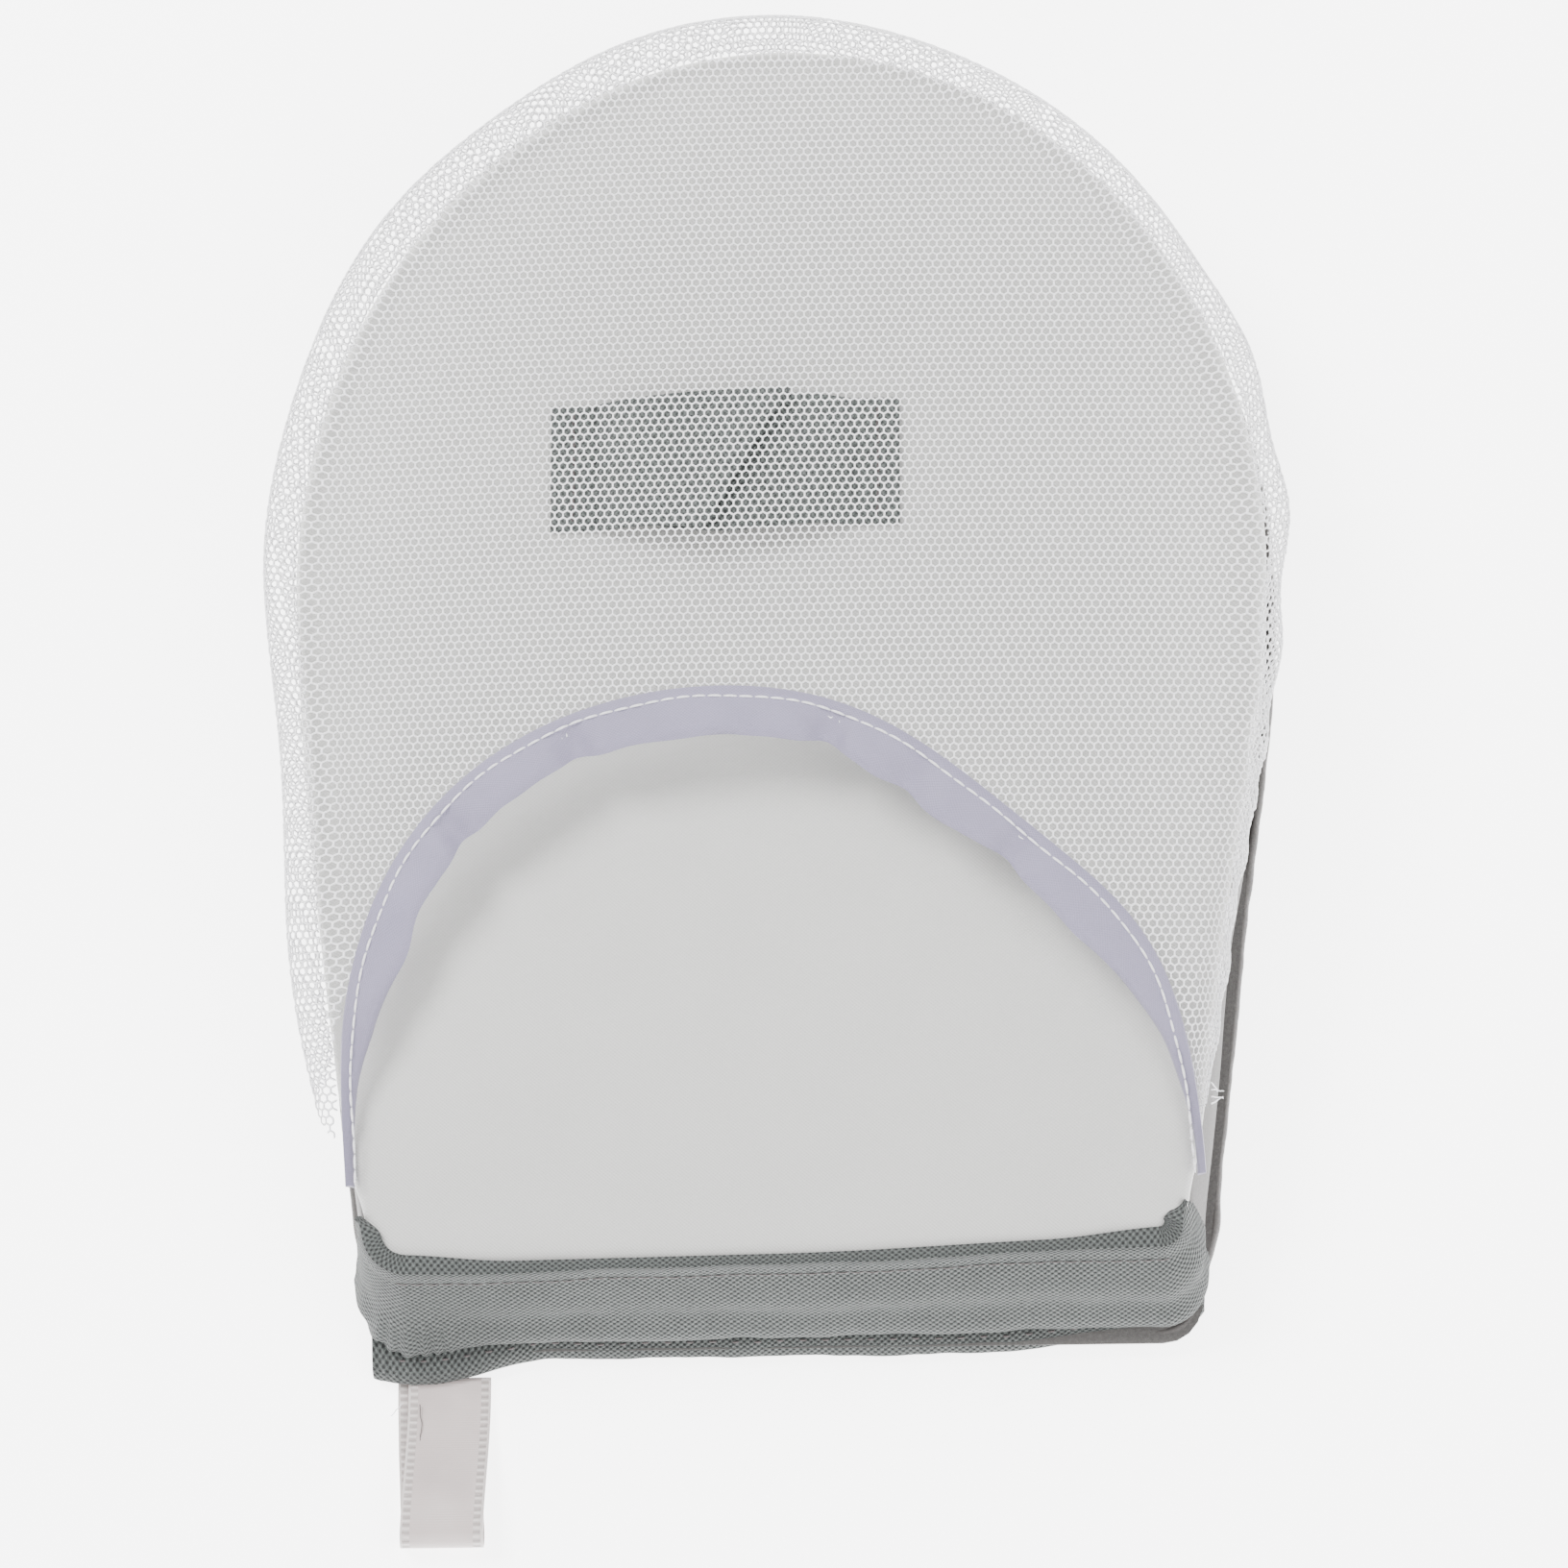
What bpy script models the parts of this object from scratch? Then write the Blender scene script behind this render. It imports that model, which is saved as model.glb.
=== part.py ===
"""Hand-held ironing mitt: a small padded board that is worn on one hand behind a garment while it is steamed.

It lies on its ironing face. X runs across it, +Y points to the rounded toe and Z goes up through the pad to
the hand side. A foam slab on an insulating felt sits in a tray of coated cloth, under a domed lining. A net
pocket is sewn over the toe end and opens at a taped arch, and a finger strap is sewn to the lining inside it.
The straight heel end is a sloping cloth wall with a hem, and a ribbon loop for a hook hangs from its corner.

Lengths in the functions are millimetres. Pad coordinates have y = 0 at the foot of the heel wall; placed()
turns them into metres about the middle of the whole object.
"""

import math

import bmesh
import bpy
from mathutils import Matrix

MM = 0.001
GAP = 0.35  # left between pieces that touch

# Plan of the pad
PAD_LENGTH = 234.0
WIDEST_AT = 136.0
HALF_WIDTH = 86.5
HEEL_HALF_WIDTH = 73.0
HEEL_CORNER = 9.0
TAPER_POWER = 1.5
DOME_CENTRE = (0.0, 115.0)

# Heights
FACE_TOP = 3.2
WALL_FOOT = 4.5
WALL_TOP = 22.0
HEEL_LEAN = 12.0  # how far the heel wall slopes in over its height
SHOULDER = 25.6
LINING_CROWN = 4.7
NET_GAP = 13.5

# Cloth thicknesses
FACE_CLOTH = 0.9
GUSSET_CLOTH = 1.0
WALL_SEAM = 1.0  # between the ends of the gusset and of the side band
LINING_CLOTH = 0.6
NET_CLOTH = 0.8
TAPE_THICKNESS = 1.8
WEBBING = 1.3
THREAD_RADIUS = 0.25

# Arched mouth of the pocket: half an ellipse that leans to the left, full on its left and slack on its right
MOUTH_FOOT = 29.0
MOUTH_HALF_WIDTH = 75.5
MOUTH_RISE = 83.0
MOUTH_SKEW = -9.0
MOUTH_FULLNESS = 0.82  # below 1 the arch has broad shoulders
MOUTH_SLACK = 0.42  # added to the fullness on the right, where the edge hangs straighter
MOUTH_SLACK_AT = 1.0
MOUTH_SLACK_SPREAD = 0.42
TAPE_WIDTH = 8.4
TAPE_STEPS = 28
STITCH_INSET = 1.6

# Finger strap
STRAP_X = -9.0
STRAP_Y = 155.5
STRAP_WIDTH = 23.0
STRAP_HALF_SPAN = 23.0
TAB_LENGTH = 7.2
STRAP_ARCH = 6.0

# Hanging loop
LOOP_X = -61.4
LOOP_WIDTH = 15.0
LOOP_ROOT = -6.8
TAIL_START = -1.6
TAIL_END = -5.5  # clear of the loop's root when that turns
LOOP_END = -32.0
LOOP_HEIGHT = 6.2
LOOP_TAPER = 3.2  # how much sooner the loop's hollow ends than its outside, in ribbon thicknesses
RIBBON = 0.6
RIBBON_FLOOR = 0.15
ROOT_SLACK = 0.3  # air between the two layers at the root

SEAM_Z = 24.85  # where the net leaves its seam
TOE_OVERHANG = 2.3  # the net's bulge past the pad's outline
Y_MIDDLE = (PAD_LENGTH + TOE_OVERHANG + LOOP_END) / 2


# --- plan curves -------------------------------------------------------------------------------------------


def smoothstep(t):
    t = min(1.0, max(0.0, t))
    return t * t * (3 - 2 * t)


def heel_at(z):
    """The y of the heel line at height z: the heel wall slopes towards the toe."""
    return HEEL_LEAN * min(1.0, max(0.0, (z - WALL_FOOT) / (WALL_TOP - WALL_FOOT)))


def side(y, heel):
    """Half width of the tapering side at y, and the slope of that side."""
    share = (WIDEST_AT - y) / (WIDEST_AT - heel)
    flare = HALF_WIDTH - HEEL_HALF_WIDTH
    slope = flare * TAPER_POWER * share ** (TAPER_POWER - 1) / (WIDEST_AT - heel)
    return HALF_WIDTH - flare * share**TAPER_POWER, slope


HEEL_STEPS, CORNER_STEPS, SIDE_STEPS, TOE_STEPS = 4, 4, 8, 12
CORNER_LAST = HEEL_STEPS + CORNER_STEPS  # station where the corner meets the side


def half_plan(heel):
    """(point, outward normal) at each station of the right half, from the heel's middle to the toe's tip."""
    lean = math.atan(side(heel + HEEL_CORNER, heel)[1])
    join_y = heel + HEEL_CORNER * (1 - math.sin(lean))
    corner_x = side(join_y, heel)[0] - HEEL_CORNER * math.cos(lean)
    found = [((corner_x * i / HEEL_STEPS, heel), (0.0, -1.0)) for i in range(HEEL_STEPS + 1)]
    for i in range(1, CORNER_STEPS + 1):
        a = -math.pi / 2 + (math.pi / 2 - lean) * i / CORNER_STEPS
        n = (math.cos(a), math.sin(a))
        found.append(((corner_x + HEEL_CORNER * n[0], heel + HEEL_CORNER * (1 + n[1])), n))
    side_start = join_y + WALL_SEAM
    for i in range(SIDE_STEPS):
        y = side_start + (WIDEST_AT - side_start) * i / SIDE_STEPS
        x, slope = side(y, heel)
        scale = math.hypot(1, slope)
        found.append(((x, y), (1 / scale, -slope / scale)))
    for i in range(TOE_STEPS + 1):
        a = math.pi / 2 * i / TOE_STEPS
        rise = PAD_LENGTH - WIDEST_AT
        n = (math.cos(a) / HALF_WIDTH, math.sin(a) / rise)
        scale = math.hypot(*n)
        point = (HALF_WIDTH * math.cos(a), WIDEST_AT + rise * math.sin(a))
        found.append((point, (n[0] / scale, n[1] / scale)))
    return found


def plan(heel):
    """(point, outward normal) round the outline, counterclockwise from above, from the heel's middle."""
    right = half_plan(heel)
    left = [((-x, y), (-nx, ny)) for (x, y), (nx, ny) in reversed(right[1:-1])]
    return right + left


STATIONS = len(plan(0.0))


def ring(inset, z):
    """The outline at height z, moved in by inset."""
    return [(x - inset * nx, y - inset * ny, z) for (x, y), (nx, ny) in plan(heel_at(z))]


def scaled(base, share, z):
    """A ring drawn in towards the middle of the dome."""
    cx, cy = DOME_CENTRE
    return [(cx + (x - cx) * share, cy + (y - cy) * share, z) for x, y, _ in base]


LINING_EDGE = [(3.0, 22.6), (4.4, 24.2), (7.0, SHOULDER)]
DOME_SHARES = [0.92, 0.8, 0.64, 0.45, 0.24]
DOME_RING = ring(LINING_EDGE[-1][0], SHOULDER)


def dome_share(x, y):
    """How far (x, y) is from the dome's middle, as a share of the way to the dome's outline, at most 1."""
    cx, cy = DOME_CENTRE
    dx, dy = x - cx, y - cy
    for (ax, ay, _), (bx, by, _) in zip(DOME_RING, DOME_RING[1:] + DOME_RING[:1]):
        ex, ey = bx - ax, by - ay
        across = dx * ey - dy * ex
        if abs(across) < 1e-9:
            continue
        far = ((ax - cx) * ey - (ay - cy) * ex) / across
        along = ((ax - cx) * dy - (ay - cy) * dx) / across
        if far > 0 and -1e-6 <= along <= 1 + 1e-6:
            return min(1.0, 1 / far)
    return 0.0


def lining_height(x, y):
    """Top of the lining inside its shoulder."""
    return SHOULDER + LINING_CROWN * (1 - dome_share(x, y) ** 2)


def net_fade(y):
    """1 over the toe end, a third at the feet of the mouth, where the net comes down to its seam."""
    return 0.35 + 0.65 * smoothstep((y - 30) / 70)


def net_height(x, y):
    return lining_height(x, y) + NET_GAP * net_fade(y)


# --- meshes and objects ------------------------------------------------------------------------------------


def placed(point):
    x, y, z = point
    return (x * MM, (y - Y_MIDDLE) * MM, z * MM)


def make_object(name, mesh, material, smooth=40):
    obj = bpy.data.objects.new(name, mesh)
    bpy.context.scene.collection.objects.link(obj)
    mesh.materials.append(material)
    mesh.shade_smooth()
    mesh.set_sharp_from_angle(angle=math.radians(smooth))
    return obj


def skin(rings, loop=True, cap_first=False, cap_last=False, close_section=False):
    """Faces over a stack of rings. loop joins a ring's last point to its first, and close_section the last
    ring to the first. Rings that go counterclockwise and upwards give faces that point outwards."""
    bm = bmesh.new()
    rows = [[bm.verts.new(placed(p)) for p in r] for r in rings]
    count = len(rings[0])
    pairs = list(zip(rows, rows[1:])) + ([(rows[-1], rows[0])] if close_section else [])
    for lower, upper in pairs:
        for i in range(count if loop else count - 1):
            j = (i + 1) % count
            bm.faces.new((lower[i], lower[j], upper[j], upper[i]))
    if cap_first:
        bm.faces.new(list(reversed(rows[0])))
    if cap_last:
        bm.faces.new(rows[-1])
    mesh = bpy.data.meshes.new("skin")
    bm.to_mesh(mesh)
    bm.free()
    return mesh


def thicken(obj, thickness):
    """Gives a skin its cloth thickness, on the inner side."""
    modifier = obj.modifiers.new("cloth", "SOLIDIFY")
    modifier.thickness = thickness * MM
    modifier.offset = -1
    modifier.use_even_offset = True
    return obj


def outward(obj):
    """Makes a closed mesh's faces point out."""
    bm = bmesh.new()
    bm.from_mesh(obj.data)
    bmesh.ops.recalc_face_normals(bm, faces=bm.faces)
    bm.to_mesh(obj.data)
    bm.free()
    return obj


def bar(name, sections, material, loop=False):
    """A solid through a row of closed cross-sections, with flat ends unless it closes on itself."""
    mesh = skin(sections, cap_first=not loop, cap_last=not loop, close_section=loop)
    return outward(make_object(name, mesh, material))


def edging(name, section, stations, material, loop=False):
    """A cross-section of (inset, z) points carried along the outline's stations."""
    rings = [ring(inset, z) for inset, z in section]
    return bar(name, [[r[s % STATIONS] for r in rings] for s in stations], material, loop)


def wall(name, section, stations, thickness, material):
    """A cloth wall: its outer face goes through (inset, z) points along the outline's stations."""
    rings = [ring(inset, z) for inset, z in section]
    rows = [[r[s % STATIONS] for s in stations] for r in rings]
    return thicken(make_object(name, skin(rows, loop=False), material), thickness)


def thread(name, points, material):
    """Sewing thread laid along a row of points."""
    curve = bpy.data.curves.new(name, "CURVE")
    curve.dimensions = "3D"
    curve.bevel_depth = THREAD_RADIUS * MM
    curve.bevel_resolution = 1
    curve.use_fill_caps = True
    spline = curve.splines.new("POLY")
    spline.points.add(len(points) - 1)
    for slot, point in zip(spline.points, points):
        slot.co = (*placed(point), 1)
    curve.materials.append(material)
    obj = bpy.data.objects.new(name, curve)
    bpy.context.scene.collection.objects.link(obj)
    return obj


def carry(name, point, objects):
    """An empty on a joint's axis, with the pieces that move about it."""
    joint = bpy.data.objects.new(name, None)
    bpy.context.scene.collection.objects.link(joint)
    joint.location = placed(point)
    for obj in objects:
        obj.parent = joint
        obj.matrix_parent_inverse = Matrix.Translation(joint.location).inverted()


def cloth(name, colour, roughness, metallic=0.0):
    material = bpy.data.materials.new(name)
    material.use_nodes = True
    shader = material.node_tree.nodes["Principled BSDF"]
    shader.inputs["Base Color"].default_value = (*colour, 1)
    shader.inputs["Roughness"].default_value = roughness
    shader.inputs["Metallic"].default_value = metallic
    return material


# --- the pad -----------------------------------------------------------------------------------------------

SIDE_STATIONS = range(CORNER_LAST + 1, STATIONS - CORNER_LAST)  # round the toe, side to side
HEEL_STATIONS = range(STATIONS - CORNER_LAST, STATIONS + CORNER_LAST + 1)  # left corner to right corner
BAND_SECTION = [(0.4, WALL_FOOT), (0.0, 8.0), (-0.3, 12.0), (0.0, 16.0), (0.6, 19.5), (1.6, WALL_TOP)]
GUSSET_SECTION = [(0.4, WALL_FOOT), (-0.6, 8.0), (-1.0, 12.0), (-0.6, 16.0), (0.2, 19.5), (1.6, WALL_TOP)]


def ironing_face(material):
    """The coated cloth that the garment is pressed on, with its edge turned up."""
    section = [(5.0, 0.0), (2.2, 0.5), (0.9, 1.8), (0.7, FACE_TOP)]
    mesh = skin([ring(*s) for s in section], cap_first=True)
    return thicken(make_object("ironing_face", mesh, material), FACE_CLOTH)


def face_binding(material):
    """Folded tape round the foot of the pad."""
    section = [(0.35, 0.9), (-0.5, 0.9), (-1.2, 1.7), (-1.2, 3.3), (-0.5, 4.1), (0.35, 4.1)]
    return edging("face_binding", section, range(STATIONS), material, loop=True)


def rim_binding(material):
    """Folded tape over the seam of the side band, the lining and the net, from heel corner to heel corner."""
    section = [(0.6, 22.4), (0.4, 23.4), (1.0, 24.3), (2.1, 24.4), (2.6, 23.4), (2.4, 22.4)]
    return edging("rim_binding", section, SIDE_STATIONS, material)


def insulating_felt(material):
    section = [(6.2, 1.25), (3.4, 1.8), (2.1, 2.6), (2.0, 4.15)]
    mesh = skin([ring(*s) for s in section], cap_first=True, cap_last=True)
    return make_object("insulating_felt", mesh, material)


def foam_core(material):
    """The sponge slab: it fills the walls and its crown lifts the lining."""
    section = [(1.9, WALL_FOOT), (1.5, 8.0), (1.2, 12.0), (1.5, 16.0), (2.1, 19.5), (3.5, 21.4)]
    drop = LINING_CLOTH + GAP + 0.1
    section += [(inset + 0.3, z - drop) for inset, z in LINING_EDGE[1:]]
    rings = [ring(*s) for s in section]
    rings += [
        scaled(DOME_RING, share, SHOULDER + LINING_CROWN * (1 - share**2) - drop)
        for share in DOME_SHARES
    ]
    mesh = skin(rings, cap_first=True, cap_last=True)
    return make_object("foam_core", mesh, material)


def lining_panel(material):
    rings = [ring(*s) for s in LINING_EDGE]
    rings += [
        scaled(DOME_RING, share, SHOULDER + LINING_CROWN * (1 - share**2))
        for share in DOME_SHARES
    ]
    mesh = skin(rings, cap_last=True)
    return thicken(make_object("lining_panel", mesh, material), LINING_CLOTH)


def heel_hem(material):
    """The heel wall's foot, turned out and bound: a flat lip along the heel."""
    section = [(-1.6, 1.7), (-4.4, 1.8), (-5.0, 2.6), (-4.6, 3.8), (-1.7, 5.6)]
    return edging("heel_hem", section, HEEL_STATIONS[3:-3], material)


def heel_thread(name, inset, z, stations, material):
    """A row of stitching on the outside of the heel wall."""
    along = ring(inset - GAP - THREAD_RADIUS, z)
    return thread(name, [along[s % STATIONS] for s in stations], material)


# --- the pocket --------------------------------------------------------------------------------------------


def arch_point(turn):
    """(x, y) on the arch's outer edge, at angle turn from its right foot."""
    climb = math.sin(turn)
    slack = MOUTH_SLACK * math.exp(-(((turn - MOUTH_SLACK_AT) / MOUTH_SLACK_SPREAD) ** 2))
    fullness = MOUTH_FULLNESS + slack
    rise = MOUTH_RISE * max(0.0, climb) ** fullness
    return MOUTH_HALF_WIDTH * math.cos(turn) + MOUTH_SKEW * climb, MOUTH_FOOT + rise


def mouth_point(turn, inward):
    """A point of the arch, moved in towards the open side."""
    step = 0.02
    (ax, ay), (bx, by) = arch_point(max(0.0, turn - step)), arch_point(min(math.pi, turn + step))
    length = math.hypot(bx - ax, by - ay)
    x, y = arch_point(turn)
    return x - inward * (by - ay) / length, y + inward * (bx - ax) / length


MOUTH_TURNS = [math.pi * i / TAPE_STEPS for i in range(TAPE_STEPS + 1)]


def net_panel(material):
    """The net: it leaves its seam, bulges past the pad's outline and domes over the hand space."""
    bulges = [(0.0, 0.0), (-2.4, 2.0), (-3.7, 5.2), (-3.0, 8.4), (0.1, 11.5), (3.2, 13.2)]
    seam_inset = 1.4
    outline = plan(HEEL_LEAN)
    rings = []
    for inset, rise in bulges:
        row = []
        for (x, y), (nx, ny) in outline:
            fade = net_fade(y)
            move = seam_inset + inset * fade
            row.append((x - move * nx, y - move * ny, SEAM_Z + rise * fade))
        rings.append(row)
    for share in [1.0, *DOME_SHARES]:
        row = scaled(DOME_RING, share, 0.0)
        rings.append([(x, y, net_height(x, y)) for x, y, _ in row])
    panel = make_object("net_panel", skin(rings, cap_last=True), material)
    thicken(panel, NET_CLOTH)
    return cut(panel, mouth_cutter())


def mouth_cutter():
    """A prism over the open side of the arch."""
    arch = [mouth_point(turn, -GAP) for turn in MOUTH_TURNS]
    corner_y = -20.0
    plan_points = [(arch[0][0], corner_y), *arch, (arch[-1][0], corner_y)]
    rings = [[(x, y, z) for x, y in plan_points] for z in (10.0, 60.0)]
    mesh = skin(rings, cap_first=True, cap_last=True)
    cutter = bpy.data.objects.new("mouth_cutter", mesh)
    bpy.context.scene.collection.objects.link(cutter)
    cutter.hide_render = True
    cutter.display_type = "WIRE"
    return outward(cutter)


def cut(obj, cutter):
    modifier = obj.modifiers.new("mouth", "BOOLEAN")
    modifier.operation = "DIFFERENCE"
    modifier.object = cutter
    return obj


def mouth_binding(material):
    """Tape folded over the net's arched edge."""
    sections = []
    for turn in MOUTH_TURNS:
        edges = [mouth_point(turn, inward) for inward in (0.0, TAPE_WIDTH / 2, TAPE_WIDTH)]
        top = [(x, y, net_height(x, y)) for x, y in edges]
        sections.append(top + [(x, y, z - TAPE_THICKNESS) for x, y, z in reversed(top)])
    return bar("mouth_binding", sections, material)


def mouth_topstitch(material):
    lift = GAP + THREAD_RADIUS
    places = [mouth_point(turn, STITCH_INSET) for turn in MOUTH_TURNS]
    return thread("mouth_topstitch", [(x, y, net_height(x, y) + lift) for x, y in places], material)


# --- the strap ---------------------------------------------------------------------------------------------


def on_lining(name, left, right, steps, rise, material):
    """A strip of webbing across the lining, lifted off it by rise(x)."""
    low, high = STRAP_Y - STRAP_WIDTH / 2, STRAP_Y + STRAP_WIDTH / 2
    sections = []
    for i in range(steps + 1):
        x = left + (right - left) * i / steps
        foot = [(x, y, lining_height(x, y) + GAP + rise(x)) for y in (low, STRAP_Y, high)]
        sections.append(foot + [(a, b, c + WEBBING) for a, b, c in reversed(foot)])
    return bar(name, sections, material)


def strap_rise(x):
    """The free span's height over the lining: a flat-topped arch."""
    return STRAP_ARCH * (1 - abs((x - STRAP_X) / STRAP_HALF_SPAN) ** 4)


def strap_tab(name, sign, material):
    near = STRAP_HALF_SPAN + GAP
    ends = sorted((STRAP_X + sign * near, STRAP_X + sign * (near + TAB_LENGTH)))
    return on_lining(name, *ends, 2, lambda x: 0.0, material)


def strap_stitch(name, sign, material):
    """The row of stitching that holds a tab to the lining."""
    x = STRAP_X + sign * (STRAP_HALF_SPAN + GAP + TAB_LENGTH / 2)
    lift = WEBBING + 2 * GAP + THREAD_RADIUS
    reach = STRAP_WIDTH / 2 - 1
    rows = [STRAP_Y + reach * share for share in (-1, -0.5, 0, 0.5, 1)]
    return thread(name, [(x, y, lining_height(x, y) + lift) for y in rows], material)


# --- the hanging loop --------------------------------------------------------------------------------------


def ribbon_section(y, z):
    """The ribbon's width at (y, z)."""
    half = LOOP_WIDTH / 2
    return [(LOOP_X - half, y, z), (LOOP_X + half, y, z)]


def loop_line(shrink):
    """(y, z) points round the loop's outside, or its inside for shrink = the ribbon's thickness: a teardrop
    that starts and ends at the root."""
    low, high = RIBBON_FLOOR + shrink, RIBBON_FLOOR + LOOP_HEIGHT - shrink
    radius = (high - low) / 2
    bight = LOOP_END + shrink + radius
    root_y = LOOP_ROOT - GAP - LOOP_TAPER * shrink
    root_low, root_high = RIBBON_FLOOR + shrink, RIBBON_FLOOR + 2 * RIBBON + ROOT_SLACK - shrink
    line = [(root_y, root_low), (bight, low)]
    for i in range(1, 8):
        a = math.pi * i / 8
        line.append((bight - radius * math.sin(a), (low + high) / 2 - radius * math.cos(a)))
    upper = 6
    for i in range(upper + 1):
        share = i / upper
        y = bight + (root_y - bight) * share
        line.append((y, high + (root_high - high) * smoothstep(share)))
    return line


def hanging_loop(material):
    """Satin ribbon folded into a loop, open in the middle for a hook."""
    outer, inner = loop_line(0.0), loop_line(RIBBON)
    half = LOOP_WIDTH / 2
    sections = []
    for x in (LOOP_X - half, LOOP_X + half):
        sections.append(([(x, y, z) for y, z in outer], [(x, y, z) for y, z in inner]))
    bm = bmesh.new()
    rows = [[[bm.verts.new(placed(p)) for p in line] for line in pair] for pair in sections]
    (left_out, left_in), (right_out, right_in) = rows
    count = len(left_out)
    for i in range(count):
        j = (i + 1) % count
        bm.faces.new((left_out[i], right_out[i], right_out[j], left_out[j]))
        bm.faces.new((left_in[i], left_in[j], right_in[j], right_in[i]))
        bm.faces.new((left_out[i], left_out[j], left_in[j], left_in[i]))
        bm.faces.new((right_out[i], right_in[i], right_in[j], right_out[j]))
    mesh = bpy.data.meshes.new("hanging_loop")
    bm.to_mesh(mesh)
    bm.free()
    return outward(make_object("hanging_loop", mesh, material))


def loop_tail(material):
    """The ribbon's two ends, sewn under the hem."""
    low, high = RIBBON_FLOOR, RIBBON_FLOOR + 2 * RIBBON
    sections = []
    for y in (TAIL_END, TAIL_START):
        bottom, top = ribbon_section(y, low), ribbon_section(y, high)
        sections.append(bottom + list(reversed(top)))
    return bar("loop_tail", sections, material)


# --- everything --------------------------------------------------------------------------------------------


def clear_scene():
    for obj in list(bpy.data.objects):
        bpy.data.objects.remove(obj, do_unlink=True)


def main():
    clear_scene()
    coated = cloth("coated_cloth", (0.30, 0.28, 0.27), 0.5, 0.25)
    binding = cloth("coated_binding", (0.27, 0.24, 0.23), 0.6, 0.1)
    oxford = cloth("grey_oxford", (0.24, 0.26, 0.25), 0.75)
    lining = cloth("white_lining", (0.78, 0.77, 0.75), 0.55)
    net = cloth("white_net", (0.88, 0.87, 0.89), 0.5)
    tape = cloth("satin_tape", (0.62, 0.60, 0.70), 0.4)
    ribbon = cloth("satin_ribbon", (0.78, 0.70, 0.68), 0.35)
    foam = cloth("foam", (0.85, 0.83, 0.74), 0.9)
    felt = cloth("felt", (0.80, 0.78, 0.72), 0.95)
    dark_thread = cloth("dark_thread", (0.10, 0.09, 0.09), 0.6)
    grey_thread = cloth("grey_thread", (0.20, 0.21, 0.21), 0.6)
    white_thread = cloth("white_thread", (0.85, 0.85, 0.87), 0.5)

    ironing_face(coated)
    face_binding(binding)
    insulating_felt(felt)
    foam_core(foam)
    wall("side_band", BAND_SECTION, SIDE_STATIONS, FACE_CLOTH, coated)
    wall("heel_gusset", GUSSET_SECTION, HEEL_STATIONS, GUSSET_CLOTH, oxford)
    rim_binding(binding)
    lining_panel(lining)
    heel_hem(oxford)
    heel_thread("gusset_topstitch", 0.2, 19.5, HEEL_STATIONS[1:-1], dark_thread)
    heel_thread("hem_topstitch", -4.7, 3.9, HEEL_STATIONS[4:-4], grey_thread)

    pocket = [net_panel(net), mouth_binding(tape), mouth_topstitch(white_thread)]
    carry("pocket_hinge", (0.0, PAD_LENGTH + TOE_OVERHANG, SEAM_Z), pocket)

    for label, sign in (("left", -1), ("right", 1)):
        strap_tab(f"strap_tab_{label}", sign, oxford)
        strap_stitch(f"strap_stitch_{label}", sign, grey_thread)
    strap_ends = (STRAP_X - STRAP_HALF_SPAN, STRAP_X + STRAP_HALF_SPAN)
    strap = on_lining("finger_strap", *strap_ends, 12, strap_rise, oxford)
    carry("strap_slide", (STRAP_X, STRAP_Y, lining_height(STRAP_X, STRAP_Y)), [strap])

    carry("loop_hinge", (LOOP_X, LOOP_ROOT, RIBBON_FLOOR + RIBBON), [hanging_loop(ribbon)])
    loop_tail(ribbon)


main()
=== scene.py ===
"""Looks of the hand-held ironing mitt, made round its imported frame.

Lengths in the functions are millimetres in the frame's own axes: X across, +Y to the round toe, Z up.
Every cloth piece is drawn over the pad's outline, which is worked out from the CAD nodes' boxes.
"""

import math

import bmesh
import bpy
import numpy as np
from mathutils import Matrix, Vector, noise
from mathutils.bvhtree import BVHTree


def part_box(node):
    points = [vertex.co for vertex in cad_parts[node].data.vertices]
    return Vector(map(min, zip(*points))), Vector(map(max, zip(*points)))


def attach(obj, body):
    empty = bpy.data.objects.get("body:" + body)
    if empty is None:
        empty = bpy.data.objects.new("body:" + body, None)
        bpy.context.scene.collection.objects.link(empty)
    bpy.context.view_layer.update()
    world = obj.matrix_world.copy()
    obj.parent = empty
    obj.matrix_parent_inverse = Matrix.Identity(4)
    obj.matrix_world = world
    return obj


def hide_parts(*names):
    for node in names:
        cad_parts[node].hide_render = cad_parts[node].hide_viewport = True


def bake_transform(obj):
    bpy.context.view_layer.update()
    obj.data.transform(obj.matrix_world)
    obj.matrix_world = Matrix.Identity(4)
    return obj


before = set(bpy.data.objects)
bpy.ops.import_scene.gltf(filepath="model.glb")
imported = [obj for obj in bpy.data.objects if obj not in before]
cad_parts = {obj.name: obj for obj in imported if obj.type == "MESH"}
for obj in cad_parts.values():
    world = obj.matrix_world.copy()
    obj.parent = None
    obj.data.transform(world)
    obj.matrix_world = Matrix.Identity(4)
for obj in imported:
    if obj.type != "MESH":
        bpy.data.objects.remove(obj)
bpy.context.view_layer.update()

MM = 0.001
SIDES = (("left", -1), ("right", 1))


def box(node):
    """A CAD node's lowest and highest corner, in millimetres."""
    return [np.array(corner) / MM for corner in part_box(node)]


FACE = box("ironing_face")
BAND = box("side_band")
BINDING = box("face_binding")
LINING = box("lining_panel")
NET = box("net_panel")
GUSSET = box("heel_gusset")
HEM = box("heel_hem")
STRAP = box("finger_strap")
TABS = {"left": box("strap_tab_left"), "right": box("strap_tab_right")}
LOOP = box("hanging_loop")
TAIL = box("loop_tail")
TAPE = box("mouth_binding")


def add_object(name, data):
    obj = bpy.data.objects.new(name, data)
    bpy.context.scene.collection.objects.link(obj)
    return obj


# --- camera, light and floor ---


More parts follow.
